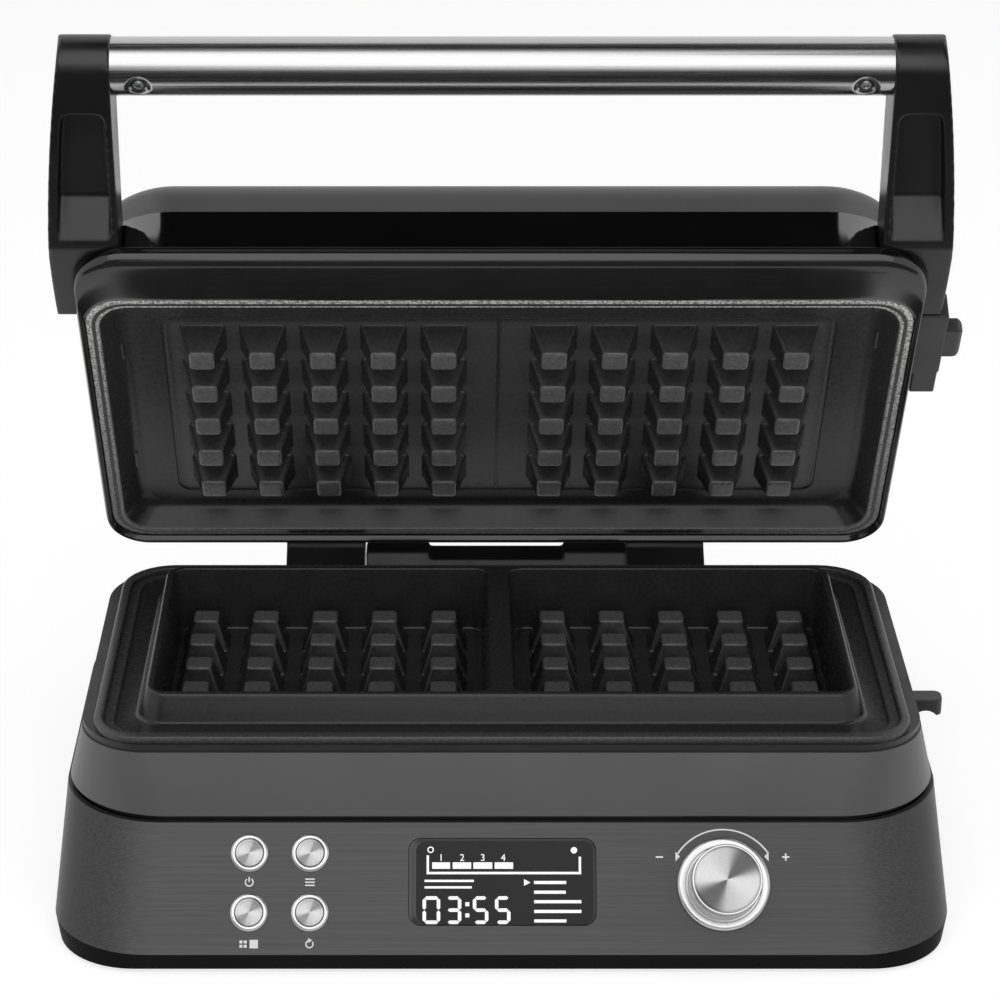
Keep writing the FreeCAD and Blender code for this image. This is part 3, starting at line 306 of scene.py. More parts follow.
# ABS from a nearly polished mould: black with a broad soft gloss, painted a little paler than the wall as
# painted light on the bezel face
bezelBlack = makeMouldedBlack("satinBezelAbs", "#171717", "#1d1d1d", 0.1, 0.17, 5.0, 0.01)
# dark grey ABS: satin, paler than the pane as painted light on the window's sloped surround
surroundGrey = makeMouldedBlack("satinWindowFrame", "#2c2c2c", "#343434", 0.3, 0.4, 0.5, 0.02)
# ABS from a polished mould: a clear gloss, slightly wavy
glossBlack = makeMouldedBlack("polishedBlackAbs", "#08080a", "#0c0c0d", 0.05, 0.12, 6.0, 0.01)
# powder coat on a casting: dull black, a little pebbled
hingeCoat = makeMouldedBlack("coatedHingeCasting", "#0f0f0f", "#151515", 0.36, 0.48, 0.9, 0.05, 0.3)
# moulded rubber: matt
softRubber = makeMouldedBlack("blackRubber", "#161616", "#1e1e1e", 0.7, 0.85, 0.4, 0.03)
# tinted pane: smooth and dark, with few reflections
displayGlass = makeMouldedBlack("darkDisplayGlass", "#1f1f1f", "#242424", 0.1, 0.16, 8.0, 0.005, 0.12)
# lacquer on glass fibre board: green, half gloss
circuitGreen = makeMouldedBlack("circuitBoardLacquer", "#0f3d22", "#165030", 0.35, 0.5, 1.0, 0.02)
nonstick = makeNonstick()
brushedTube = makeBrushedTube()
# turned faces: how dark their two wedges of painted shade are, and where those start
# small caps: faint wedges of painted shade
spunMetalPaintedShade = makeSpunMetal("spunAluminium", 0.45, 0.3)
# large cap: dark wedges of painted shade
spunCapPaintedShade = makeSpunMetal("spunAluminiumCap", 0.9, 0.05)
# plain metals: tones, roughness from and to, size of the mottling in mm
# chrome plate on plastic: pale, with soft reflections
satinChrome = makePlainMetal("satinChrome", "#b4b4b4", "#cacaca", 0.26, 0.34, 3.0)
# zinc plate on steel: grey, slightly cloudy
zincPlate = makePlainMetal("zincPlatedSteel", "#8d8e91", "#a9aaac", 0.28, 0.42, 1.5)
# bare rolled aluminium: bright, in broad soft patches
sheetMetal = makePlainMetal("plainAluminiumSheet", "#b9babb", "#cfd0d0", 0.3, 0.42, 6.0)
# steel tube browned by heat: dull, warm grey
heaterSteel = makePlainMetal("dullHeaterSteel", "#5b544f", "#726a64", 0.45, 0.6, 3.0)
# sintered bronze: dull gold brown, finely mottled
bronze = makePlainMetal("sinteredBronze", "#8a6a34", "#a98546", 0.35, 0.5, 0.8)
# printed signs, unlit
whiteInk = makeFlatInk("paleScreenPrint", "#e9e9e9", 0.0)
# display segments, lit a little from behind
litSegment = makeFlatInk("litDisplaySegment", "#ececec", 0.35)

slotLooks = {
    "matte_black": matteBlack, "gloss_black": glossBlack, "grey_paint": satinPaint,
    "brushed_dark": brushedDark, "nonstick": nonstick, "bright_steel": brushedTube,
    "zinc_steel": zincPlate, "spun_metal": satinChrome, "hinge_metal": hingeCoat,
    "sheet_metal": sheetMetal, "heater_steel": heaterSteel, "bronze": bronze,
    "circuit_board": circuitGreen, "display_front": displayGlass, "soft_rubber": softRubber,
    "plated_plastic": satinChrome,
}
for part in frame["record"]["subparts"]:
    solid = nodes[part["node"]]
    solid.data.materials.clear()
    solid.data.materials.append(slotLooks[part["material_slot"]])
nodes["base_tray"].data.materials[0] = trayBlack
print("finishes set on every solid")


# Mesh helpers, all in drawing millimetres until a piece is put in its place

def insetOutline(outline, amount):
    return tuple(v - amount for v in outline)


def outlineBox(outline):
    half, front, rear, frontRound, rearRound = outline
    return (-half, half, -front, rear, frontRound, rearRound)


def ringPoints(x0, x1, y0, y1, frontRound, rearRound, steps):
    corners = (
        (x1 - rearRound, y1 - rearRound, rearRound, 0),
        (x0 + rearRound, y1 - rearRound, rearRound, 90),
        (x0 + frontRound, y0 + frontRound, frontRound, 180),
        (x1 - frontRound, y0 + frontRound, frontRound, 270),
    )
    points = []
    for cx, cy, r, start in corners:
        for k in range(steps + 1):
            a = math.radians(start + 90 * k / steps)
            points.append((cx + r * math.cos(a), cy + r * math.sin(a)))
    return points


longestEase = 0.48  # an eased edge takes no more than this share of a side


def easeCurve(start, corner, end, steps):
    for k in range(steps + 1):
        t = k / steps
        yield [(1 - t) ** 2 * a + 2 * t * (1 - t) * p + t * t * b for a, p, b in zip(start, corner, end)]


def easeStations(stations, steps=4):
    # a station is box, height, edge radius and a value of wear and painted sheen; each edge is eased by a
    # short curve
    flat = [tuple(s[0]) + (s[1], s[3] if len(s) > 3 else 0.0) for s in stations]
    eased = []
    for i, point in enumerate(flat):
        radius = stations[i][2]
        if not radius or i in (0, len(flat) - 1):
            eased.append(point)
            continue
        ends = []
        for other in (flat[i - 1], flat[i + 1]):
            length = math.hypot(other[1] - point[1], other[6] - point[6])
            share = min(radius / max(length, 1e-6), longestEase)
            ends.append([a + (b - a) * share for a, b in zip(point, other)])
        for spot in easeCurve(ends[0], point, ends[1], steps):
            spot[7] = point[7]
            eased.append(tuple(spot))
    return eased


def easeProfile(points, steps=4):
    # points are radius, height and corner radius
    out = []
    for i, (r, h, c) in enumerate(points):
        if not c or i in (0, len(points) - 1):
            out.append((r, h))
            continue
        ends = []
        for r2, h2, _ in (points[i - 1], points[i + 1]):
            share = min(c / max(math.hypot(r2 - r, h2 - h), 1e-6), longestEase)
            ends.append((r + (r2 - r) * share, h + (h2 - h) * share))
        out += [tuple(spot) for spot in easeCurve(ends[0], (r, h), ends[1], steps)]
    return out


def bridgeRings(shape, rings):
    count = len(rings[0])
    for low, high in zip(rings, rings[1:]):
        for k in range(count):
            n = (k + 1) % count
            shape.faces.new((low[k], low[n], high[n], high[k]))


def loftInto(shape, stations, steps=8, capFirst=True, capLast=True, wearAndSheenLayer=None):
    rings = []
    for *box, z, wearAndSheen in stations:
        ring = []
        for x, y in ringPoints(*box, steps):
            vertex = shape.verts.new((x * mm, y * mm, z * mm))
            if wearAndSheenLayer is not None:
                vertex[wearAndSheenLayer] = wearAndSheen
            ring.append(vertex)
        rings.append(ring)
    bridgeRings(shape, rings)
    if capFirst:
        shape.faces.new(reversed(rings[0]))
    if capLast:
        shape.faces.new(rings[-1])
    return rings


def boxInto(shape, x0, x1, y0, y1, z0, z1, edge=0.4):
    inner = (x0 + edge, x1 - edge, y0 + edge, y1 - edge, edge, edge)
    outer = (x0, x1, y0, y1, edge, edge)
    stations = easeStations([(inner, z0, 0), (outer, z0, edge), (outer, z1, edge), (inner, z1, 0)], 2)
    loftInto(shape, stations, 2)


def circleRings(shape, profile, count):
    # one ring of corners for each radius and height
    turns = [2 * math.pi * k / count for k in range(count)]
    rings = []
    for r, h in profile:
        rings.append([shape.verts.new((r * mm * math.cos(a), r * mm * math.sin(a), h * mm)) for a in turns])
    return rings


def linkObject(name, data):
    made = bpy.data.objects.new(name, data)
    scene.collection.objects.link(made)
    return made


def meshObject(name, shape):
    data = bpy.data.meshes.new(name)
    shape.to_mesh(data)
    shape.free()
    return linkObject(name, data)


def makePiece(name, shape, place, material, body, stands=(), sharp=40):
    # a finished piece: facing out, placed in its mesh and riding on its body
    bmesh.ops.recalc_face_normals(shape, faces=shape.faces[:])
    piece = meshObject(name, shape)
    piece.data.transform(place)
    for face in piece.data.polygons:
        face.use_smooth = True
    piece.data.set_sharp_from_angle(angle=math.radians(sharp))
    piece.data.materials.append(material)
    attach(piece, body)
    if stands:
        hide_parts(*stands)
    return piece


def bakeInto(shape, source, place=None):
    # what the source's modifiers or text give goes into the shape, and the source is removed
    graph = bpy.context.evaluated_depsgraph_get()
    data = bpy.data.meshes.new_from_object(source.evaluated_get(graph))
    if place is not None:
        data.transform(place)
    shape.from_mesh(data)
    bpy.data.meshes.remove(data)
    bpy.data.objects.remove(source)


def addInputs(tree, kinds):
    # named inputs of a node tree, with the identifiers that a modifier is set by
    sockets = {}
    for label, kind in kinds.items():
        socket = tree.interface.new_socket(label, in_out="INPUT", socket_type="NodeSocket" + kind)
        sockets[label] = socket.identifier
    tree.interface.new_socket("Geometry", in_out="OUTPUT", socket_type="NodeSocketGeometry")
    return sockets


def setTree(holder, tree, sockets, given):
    modifier = holder.modifiers.new("layout", "NODES")
    modifier.node_group = tree
    for label, value in given.items():
        modifier[sockets[label]] = value


# Studs of both plates, laid out by a node tree on a grid for each bed
studs = {
    "count": 5, "pitchX": 23.0, "pitchY": 20.7, "bedOffset": 67.0, "baseX": 17.2, "baseY": 15.5, "tip": 9.2,
    "height": 12.0, "round": 1.3, "edge": 1.1, "tipSheen": 0.24, "footSpread": 0.6, "footSunk": -0.3,
    "footHigh": 0.35, "footEdge": 0.6, "neckHigh": 0.9, "neckSpread": 0.1, "topInset": 2.5, "topRound": 0.4,
}


def studTree():
    tree = bpy.data.node_groups.new("studGrid", "GeometryNodeTree")
    sockets = addInputs(tree, {
        "Count": "Int", "Pitch X": "Float", "Pitch Y": "Float", "Bed Offset": "Float", "Stud": "Object",
        "Finish": "Material"})
    given = addNode(tree, "NodeGroupInput").outputs
    gaps = addNode(tree, "ShaderNodeMath", {0: given["Count"], 1: 1.0}, operation="SUBTRACT")
    wide = addNode(tree, "ShaderNodeMath", {0: gaps, 1: given["Pitch X"]}, operation="MULTIPLY")
    deep = addNode(tree, "ShaderNodeMath", {0: gaps, 1: given["Pitch Y"]}, operation="MULTIPLY")
    grid = addNode(tree, "GeometryNodeMeshGrid", {
        "Size X": wide, "Size Y": deep, "Vertices X": given["Count"], "Vertices Y": given["Count"]})
    stud = addNode(tree, "GeometryNodeObjectInfo", {"Object": given["Stud"]})
    bed = addNode(tree, "GeometryNodeInstanceOnPoints", {
        "Points": grid.outputs["Mesh"], "Instance": stud.outputs["Geometry"]})
    both = addNode(tree, "GeometryNodeJoinGeometry")
    for side in (1.0, -1.0):
        reach = addNode(tree, "ShaderNodeMath", {0: given["Bed Offset"], 1: side}, operation="MULTIPLY")
        aside = addNode(tree, "ShaderNodeCombineXYZ", {0: reach})
        moved = addNode(tree, "GeometryNodeTransform", {"Geometry": bed, "Translation": aside})
        tree.links.new(moved.outputs[0], both.inputs[0])
    real = addNode(tree, "GeometryNodeRealizeInstances", {0: both})
    dressed = addNode(tree, "GeometryNodeSetMaterial", {"Geometry": real, "Material": given["Finish"]})
    addNode(tree, "NodeGroupOutput", {0: dressed})
    return tree, sockets


def studBox(halfX, halfY, corner):
    return (-halfX, halfX, -halfY, halfY, corner, corner)


def makeStud():
    s = studs
    bx, by, t = s["baseX"] / 2, s["baseY"] / 2, s["tip"] / 2
    nx, ny = t + (bx - t) * s["neckSpread"], t + (by - t) * s["neckSpread"]
    neck = s["footHigh"] + (s["height"] - s["footHigh"]) * s["neckHigh"]
    top = t - s["topInset"]
    shape = bmesh.new()
    wearAndSheen = shape.verts.layers.float.new("wearAndSheen")
    stations = easeStations([
        (studBox(bx + s["footSpread"], by + s["footSpread"], s["round"]), s["footSunk"], 0),
        (studBox(bx, by, s["round"]), s["footHigh"], s["footEdge"]),
        (studBox(nx, ny, s["round"]), neck, 0),
        # the tip is painted paler: painted sheen where light falls on the tips
        (studBox(t, t, s["round"]), s["height"], s["edge"], s["tipSheen"]),
        (studBox(top, top, s["topRound"]), s["height"], 0, s["tipSheen"]),
    ], 3)
    loftInto(shape, stations, 3, capFirst=False, wearAndSheenLayer=wearAndSheen)
    return meshObject("studShape", shape)


studNodes, studSockets = studTree()
studShape = makeStud()


def studsInto(shape, floor, way):
    holder = linkObject("studHolder", bpy.data.meshes.new("studHolder"))
    setTree(holder, studNodes, studSockets, {
        "Count": studs["count"], "Pitch X": studs["pitchX"] * mm, "Pitch Y": studs["pitchY"] * mm,
        "Bed Offset": studs["bedOffset"] * mm, "Stud": studShape, "Finish": nonstick})
    bakeInto(shape, holder, Matrix.Translation((0, 0, floor * mm)) @ Matrix.Diagonal((1, 1, way, 1)))


# Lower plate: stepped rim, shallow channel, ridge round two beds, studs
# an outline is half width, front, rear, front corners and rear corners
lowerPlate = {
    "rimOut": (147.0, 72.9, 77.0, 17.0, 20.0), "rimMid": (143.5, 69.4, 73.5, 14.0, 17.0),
    "rimIn": (139.5, 65.5, 69.5, 10.0, 13.0), "ridgeFoot": (131.6, 57.4, 61.0, 10.0, 10.0),
    "ridgeEdge": (128.6, 54.4, 58.0, 8.0, 8.0), "collar": (141.5, 66.0, 70.5, 12.0, 19.0),
    "pan": (127.0, 52.95, 57.55, 8.0, 8.0), "rimBottom": 78.7, "rimTop": 81.3, "rimStep": 79.8,
    "channel": 78.5, "ridgeTop": 89.2, "ridgeInset": 1.6, "deck": 75.5, "panBottom": 60.7, "bedFloor": 63.7,
    "bedLow": (5.9, 124.0, -49.95, 54.55), "bedHigh": (4.0, 125.9, -51.85, 55.45), "bedRound": 5.0,
    "bedLip": 0.9, "bedFoot": 1.6, "floorInset": 2.0, "rimHighlight": 0.15, "stepHighlight": 0.1,
    "lugs": ((140.0, 145.5, -25.0, -18.5), (-145.5, -140.0, -40.0, -30.0), (-145.5, -140.0, 30.0, 40.0)),
    "lugZ": (67.0, 70.0),
}


def makeLowerPlate():
    p = lowerPlate
    at = lambda key, inset=0.0: outlineBox(insetOutline(p[key], inset))
    shape = bmesh.new()
    wearAndSheen = shape.verts.layers.float.new("wearAndSheen")
    stations = easeStations([
        (at("pan"), p["panBottom"], 0), (at("pan"), p["deck"], 0),
        (at("collar"), p["deck"], 0), (at("collar"), p["rimBottom"], 0),
        # the rim and step edges are painted paler: painted highlight lines
        (at("rimOut"), p["rimBottom"], 0), (at("rimOut"), p["rimTop"], 0.9, p["rimHighlight"]),
        (at("rimMid"), p["rimTop"], 0.7, p["rimHighlight"]), (at("rimMid"), p["rimStep"], 0.4),
        (at("rimIn"), p["rimStep"], 0.6, p["stepHighlight"]), (at("rimIn"), p["channel"], 0.5),
        (at("ridgeFoot"), p["channel"], 1.2), (at("ridgeEdge"), p["ridgeTop"], 1.4),
        (at("ridgeEdge", p["ridgeInset"]), p["ridgeTop"], 0),
    ])
    rings = loftInto(shape, stations, capLast=False, wearAndSheenLayer=wearAndSheen)
    edges = [e for e in shape.edges if e.verts[0] in rings[-1] and e.verts[1] in rings[-1]]
    bedSteps = (
        ("bedHigh", p["ridgeTop"], 0.0, p["bedLip"]), ("bedHigh", p["ridgeTop"], p["bedLip"], 0.0),
        ("bedLow", p["bedFloor"], p["bedFoot"], 0.0), ("bedLow", p["bedFloor"], 0.0, -p["floorInset"]),
    )
    for side in (1, -1):
        beds = []
        for key, z, edge, grow in bedSteps:
            x0, x1, y0, y1 = p[key]
            if side < 0:
                x0, x1 = -x1, -x0
            corner = p["bedRound"] + grow
            beds.append(((x0 - grow, x1 + grow, y0 - grow, y1 + grow, corner, corner), z, edge))
        mouth = set(loftInto(shape, easeStations(beds), capFirst=False, wearAndSheenLayer=wearAndSheen)[0])
        edges += [e for e in shape.edges if e.verts[0] in mouth and e.verts[1] in mouth]
    bmesh.ops.triangle_fill(shape, edges=edges, use_beauty=True)
    for lug in p["lugs"]:
        boxInto(shape, *lug, *p["lugZ"])
    studsInto(shape, p["bedFloor"], 1.0)
    makePiece("lowerWafflePlate", shape, basePlace, nonstick, "base", ("lower_plate",))


# Upper plate: flange, dish, framed zone, divider line, studs
upperPlate = {
    "flange": (155.5, 76.0, 75.5, 14.0, 14.0), "mouth": (150.7, 72.0, 71.5, 12.0, 12.0),
    "floor": (143.5, 65.7, 67.0, 9.0, 9.0), "zone": (128.5, 54.4, 58.0, 6.0, 6.0),
    "faceZ": 83.2, "flangeTop": 85.7, "floorZ": 93.2, "wall": 3.0, "groove": 0.6, "grooveWide": 1.2,
    "brightOuter": 0.42, "coatedOuter": 0.5, "coatedInner": 0.74, "brightInner": 0.8, "coatedWall": 0.08,
    "edgeWearAndHighlight": 1.0, "lineWearAndHighlight": 0.9, "floorSheen": 0.09, "brightFrom": 0.2, "frontEnd": -60.0,
    "frontWearAndHighlight": 0.85, "otherWearAndHighlight": 0.4, "dividerHalf": 0.6, "dividerShort": 1.5, "dividerProud": 0.45,
    "dividerSunk": 1.0, "dividerEdge": 0.3, "lugZ": (91.5, 94.5),
    "lugs": ((143.5, 154.7, -47.0, -37.0), (-154.7, -143.5, -40.0, -30.0), (-154.7, -143.5, 30.0, 40.0)),
}


def makeUpperPlate():
    p = upperPlate
    at = lambda key, inset=0.0: outlineBox(insetOutline(p[key], inset))
    between = lambda first, last, share: tuple(a + (b - a) * share for a, b in zip(at(first), at(last)))
    along = lambda key: between("flange", "mouth", p[key])
    face, floor, wall = p["faceZ"], p["floorZ"], p["wall"]
    bottom = floor + p["groove"]
    shape = bmesh.new()
    wearAndSheen = shape.verts.layers.float.new("wearAndSheen")
    stations = easeStations([
        (at("floor", -wall), floor + wall, 0), (at("floor", -wall), floor, 0),
        (at("mouth", -wall), p["flangeTop"], 0), (at("flange"), p["flangeTop"], 0.4),
        # flange edge and mouth are paled: bare flecks of wear and painted highlight lines; the zone floor
        # gets a faint painted sheen
        (at("flange"), face, 0.8, p["edgeWearAndHighlight"]), (along("brightOuter"), face, 0, p["lineWearAndHighlight"]),
        (along("coatedOuter"), face, 0), (along("coatedInner"), face, 0),
        (along("brightInner"), face, 0, p["lineWearAndHighlight"]), (at("mouth"), face, 0.5, p["lineWearAndHighlight"]),
        (between("mouth", "floor", p["coatedWall"]), face + p["coatedWall"] * (floor - face), 0),
        (at("floor"), floor, 3.0), (at("zone"), floor, 0.3), (at("zone"), bottom, 0.25),
        (at("zone", p["grooveWide"]), bottom, 0.25), (at("zone", p["grooveWide"]), floor, 0.3),
        (at("zone", p["grooveWide"] + 1.0), floor, 0),
        (at("zone", p["grooveWide"] + 3.0), floor, 0, p["floorSheen"]),
    ])
    loftInto(shape, stations, wearAndSheenLayer=wearAndSheen)
    for vertex in shape.verts:
        if vertex[wearAndSheen] > p["brightFrom"]:
            # the front edge gets most: bare flecks of wear and painted highlight
            vertex[wearAndSheen] *= p["frontWearAndHighlight"] if vertex.co.y < p["frontEnd"] * mm else p["otherWearAndHighlight"]
    _, front, rear, _, _ = insetOutline(p["zone"], p["dividerShort"])
    boxInto(shape, -p["dividerHalf"], p["dividerHalf"], -front, rear,
            floor - p["dividerProud"], floor + p["dividerSunk"], p["dividerEdge"])
    for lug in p["lugs"]:
        boxInto(shape, *lug, *p["lugZ"])
    studsInto(shape, floor, -1.0)
    makePiece("upperWafflePlate", shape, lidPlace, nonstick, "lid", ("upper_plate",))


makeLowerPlate()
makeUpperPlate()
bpy.data.objects.remove(studShape)
print("plates made")


# Moulded and cast pieces: a skin drawn over the solid, so that every edge is softly round
# each line gives the piece, the grain of its skin in millimetres, its body, finish and slot
skinnedPieces = {
    "handle_arm_right": ("handleArmRight", 0.62, "lid", armBlack, "matte_black"),
    "handle_arm_left": ("handleArmLeft", 0.62, "lid", armBlack, "matte_black"),
    "hinge_arm_right": ("hingeArmRight", 0.5, "lid", hingeCoat, "hinge_metal"),
    "hinge_arm_left": ("hingeArmLeft", 0.5, "lid", hingeCoat, "hinge_metal"),
    "hinge_tower": ("hingeTower", 0.6, "base", hingeCoat, "hinge_metal"),
    "latch_bracket": ("latchBracket", 0.35, "lid", matteBlack, "matte_black"),
    "upper_latch": ("upperLatchTab", 0.3, "upper_latch", matteBlack, "matte_black"),
    "lower_latch": ("lowerLatchTab", 0.3, "lower_latch", matteBlack, "matte_black"),
}
skinSettings = {"passes": 7, "pull": 0.5, "keep": 0.32, "weld": 0.01, "sharp": 60}


def skinOver(node, name, grain, body, material):
    solid = bmesh.new()
    solid.from_mesh(nodes[node].data)
    bmesh.ops.remove_doubles(solid, verts=solid.verts[:], dist=skinSettings["weld"] * mm)
    raw = meshObject(name + "Raw", solid)
    skin = raw.modifiers.new("skin", "REMESH")
    skin.mode = "VOXEL"
    skin.voxel_size = grain * mm
    soft = raw.modifiers.new("soft", "SMOOTH")
    soft.factor = skinSettings["pull"]
    soft.iterations = skinSettings["passes"]
    fewer = raw.modifiers.new("fewer", "DECIMATE")
    fewer.ratio = skinSettings["keep"]
    shape = bmesh.new()
    bakeInto(shape, raw)
    makePiece(name, shape, Matrix.Identity(4), material, body, (node,), skinSettings["sharp"])


for node, (name, grain, body, material, slotName) in skinnedPieces.items():
    skinOver(node, name, grain, body, material)
print("arms, hinge and latches eased")


# Turned pieces of the panel: buttons, rings, knob
def turnedPiece(name, profile, centre, material, body, stands, segments=96):
    # profile is radius and height from the middle of the face outwards and down; the map is angle and run
    shape = bmesh.new()
    layer = shape.loops.layers.uv.new("turned")
    pole = lambda i: profile[i][0] < 1e-6
    runs = [0.0]
    for (r0, h0), (r1, h1) in zip(profile, profile[1:]):
        runs.append(runs[-1] + math.hypot(r1 - r0, h1 - h0))
    rings = []
    for i, (r, h) in enumerate(profile):
        if pole(i):
            rings.append([shape.verts.new((0, 0, h * mm))] * segments)
        else:
            rings += circleRings(shape, [(r, h)], segments)
    for i in range(len(profile) - 1):
        for k in range(segments):
            n = (k + 1) % segments
            corners = [
                (rings[i][k], k, i), (rings[i + 1][k], k, i + 1),
                (rings[i + 1][n], k + 1, i + 1), (rings[i][n], k + 1, i),
            ]
            if pole(i):
                corners.pop(3)
            elif pole(i + 1):
                corners.pop(2)
            face = shape.faces.new([c[0] for c in corners])
            for loop, (_, turn, step) in zip(face.loops, corners):
                loop[layer].uv = (turn / segments * mapWidth, runs[step])
    bmesh.ops.remove_doubles(shape, verts=shape.verts[:], dist=0.001 * mm)
    place = panelPlace @ Matrix.Translation((centre[0] * mm, -centre[1] * mm, 0))
    makePiece(name, shape, place, material, body, stands)


buttons = {
    "x": (-90.0, -68.4), "s": (10.9, 32.0), "cap": 4.9, "hole": 5.1, "ring": 6.75, "sleeve": 5.85,
    "ringHigh": 0.95, "capHigh": 1.7, "deep": -2.9, "flange": 5.6, "flangeTop": -3.1, "flangeLow": -4.1,
    "stem": 1.4, "stemEnd": -5.2, "seat": 0.05, "segments": 72,
    "names": (("button_upper_left", "button_lower_left"), ("button_upper_right", "button_lower_right")),
}


def makeButtons():
    b = buttons
    cap, high = b["cap"], b["capHigh"]
    face = easeProfile([
        (0.0, high - 0.3, 0), (cap - 1.1, high - 0.2, 0.3), (cap - 0.6, high, 0.25),
        (cap, high - 0.15, 0.3), (cap, b["flangeTop"], 0),
        (b["flange"], b["flangeTop"], 0), (b["flange"], b["flangeLow"], 0),
        (b["stem"], b["flangeLow"], 0), (b["stem"], b["stemEnd"], 0), (0.0, b["stemEnd"], 0),
    ])
    for x, column in zip(b["x"], b["names"]):
        for run, node in zip(b["s"], column):
            kind, row, side = node.split("_")
            name = kind + row.title() + side.title() + "Cap"
            turnedPiece(name, face, (x, run), spunMetalPaintedShade, node, (node,), b["segments"])


knob = {
    "x": 78.6, "s": 22.0, "ring": 16.75, "dish": 13.45, "dishFloor": 0.8, "ringHigh": 2.0, "seat": 0.05,
    "bore": 3.7, "foot": 12.9, "top": 12.5, "low": 1.3, "height": 16.5, "cap": 11.6, "capRise": 0.7,
    "capSunk": 0.6, "shaft": 3.2, "shaftTop": 11.8,
}


def makeKnob():
    k = knob
    centre = (k["x"], k["s"])
    ring, bore = k["ring"], k["bore"]
    profile = easeProfile([
        (bore, k["seat"], 0), (bore, k["dishFloor"], 0), (k["dish"], k["dishFloor"], 0),
        (k["dish"], k["ringHigh"] - 0.1, 0.3), (ring - 1.0, k["ringHigh"], 0.7),
        (ring, k["ringHigh"] - 0.9, 0.7), (ring, k["seat"], 0), (bore, k["seat"], 0),
    ])
    turnedPiece("knobRing", profile, centre, satinChrome, "base", ("knob_ring",))
    cap, height = k["cap"], k["height"]
    sunk, crown = height - k["capSunk"], height + k["capRise"]
    profile = easeProfile([
        (0.0, sunk, 0), (cap + 0.05, sunk, 0), (cap + 0.1, height, 0.1), (k["top"], height, 0.7),
        (k["foot"], k["low"], 0.4), (k["shaft"], k["low"], 0), (k["shaft"], k["shaftTop"], 0),
        (0.0, k["shaftTop"], 0),
    ])
    turnedPiece("knobBody", profile, centre, satinChrome, "knob", ("knob_body",))
    profile = easeProfile([
        (0.0, crown - 0.25, 0), (cap - 0.7, crown, 0.4), (cap, crown - 0.4, 0.3),
        (cap, sunk, 0), (0.0, sunk, 0),
    ])
    turnedPiece("knobCap", profile, centre, spunCapPaintedShade, "knob", ("knob_cap",))


makeButtons()
makeKnob()
print("buttons and knob turned")


# Small parts set on marked spots by one node tree, each with its own turn
def spotTree():
    tree = bpy.data.node_groups.new("setOnSpots", "GeometryNodeTree")
    sockets = addInputs(tree, {
        "Spots": "Geometry", "Shape": "Object", "Size": "Float", "Widest Turn": "Float", "Seed": "Int",
        "Finish": "Material"})
    given = addNode(tree, "NodeGroupInput").outputs
    facing = addNode(tree, "GeometryNodeInputNamedAttribute", {"Name": "facing"}, data_type="FLOAT_VECTOR")
    aim = addNode(tree, "FunctionNodeAlignRotationToVector", {"Vector": facing}, axis="Z")
    chance = addNode(tree, "FunctionNodeRandomValue", {
        2: 0.0, 3: given["Widest Turn"], "Seed": given["Seed"]}, data_type="FLOAT")
    spin = addNode(tree, "ShaderNodeCombineXYZ", {2: chance.outputs[1]})
    twist = addNode(tree, "FunctionNodeEulerToRotation", {0: spin})
    turned = addNode(tree, "FunctionNodeRotateRotation", {0: aim, 1: twist}, rotation_space="LOCAL")
    size = addNode(tree, "ShaderNodeCombineXYZ", {0: given["Size"], 1: given["Size"], 2: given["Size"]})
    shape = addNode(tree, "GeometryNodeObjectInfo", {"Object": given["Shape"]})
    onSpots = addNode(tree, "GeometryNodeInstanceOnPoints", {
        "Points": given["Spots"], "Instance": shape.outputs["Geometry"], "Rotation": turned, "Scale": size})
    real = addNode(tree, "GeometryNodeRealizeInstances", {0: onSpots})
    dressed = addNode(tree, "GeometryNodeSetMaterial", {"Geometry": real, "Material": given["Finish"]})
    addNode(tree, "NodeGroupOutput", {0: dressed})
    return tree, sockets


spotNodes, spotSockets = spotTree()


def setOnSpots(name, part, spots, facing, place, material, body, stands, turn, seed, size=1.0):
    data = bpy.data.meshes.new("spots")
    data.from_pydata([[c * mm for c in spot] for spot in spots], [], [])
    ways = data.attributes.new("facing", "FLOAT_VECTOR", "POINT")
    for item in ways.data:
        item.vector = facing
    holder = linkObject("spotHolder", data)
    setTree(holder, spotNodes, spotSockets, {
        "Shape": part, "Size": size, "Widest Turn": turn, "Seed": seed, "Finish": material})
    shape = bmesh.new()
    bakeInto(shape, holder)
    makePiece(name, shape, place, material, body, stands, 35)


# Cross-head screw: domed head with a four-lobed recess, face upwards at zero height
screw = {
    "head": 3.0, "high": 2.4, "shank": 1.6, "length": 5.0, "slot": 0.42, "reach": 1.75, "sink": 1.3,
    "face": -0.06, "faceWide": 2.1, "taper": (0.75, 0.6), "widestTurn": 1.57, "segments": 24,
}


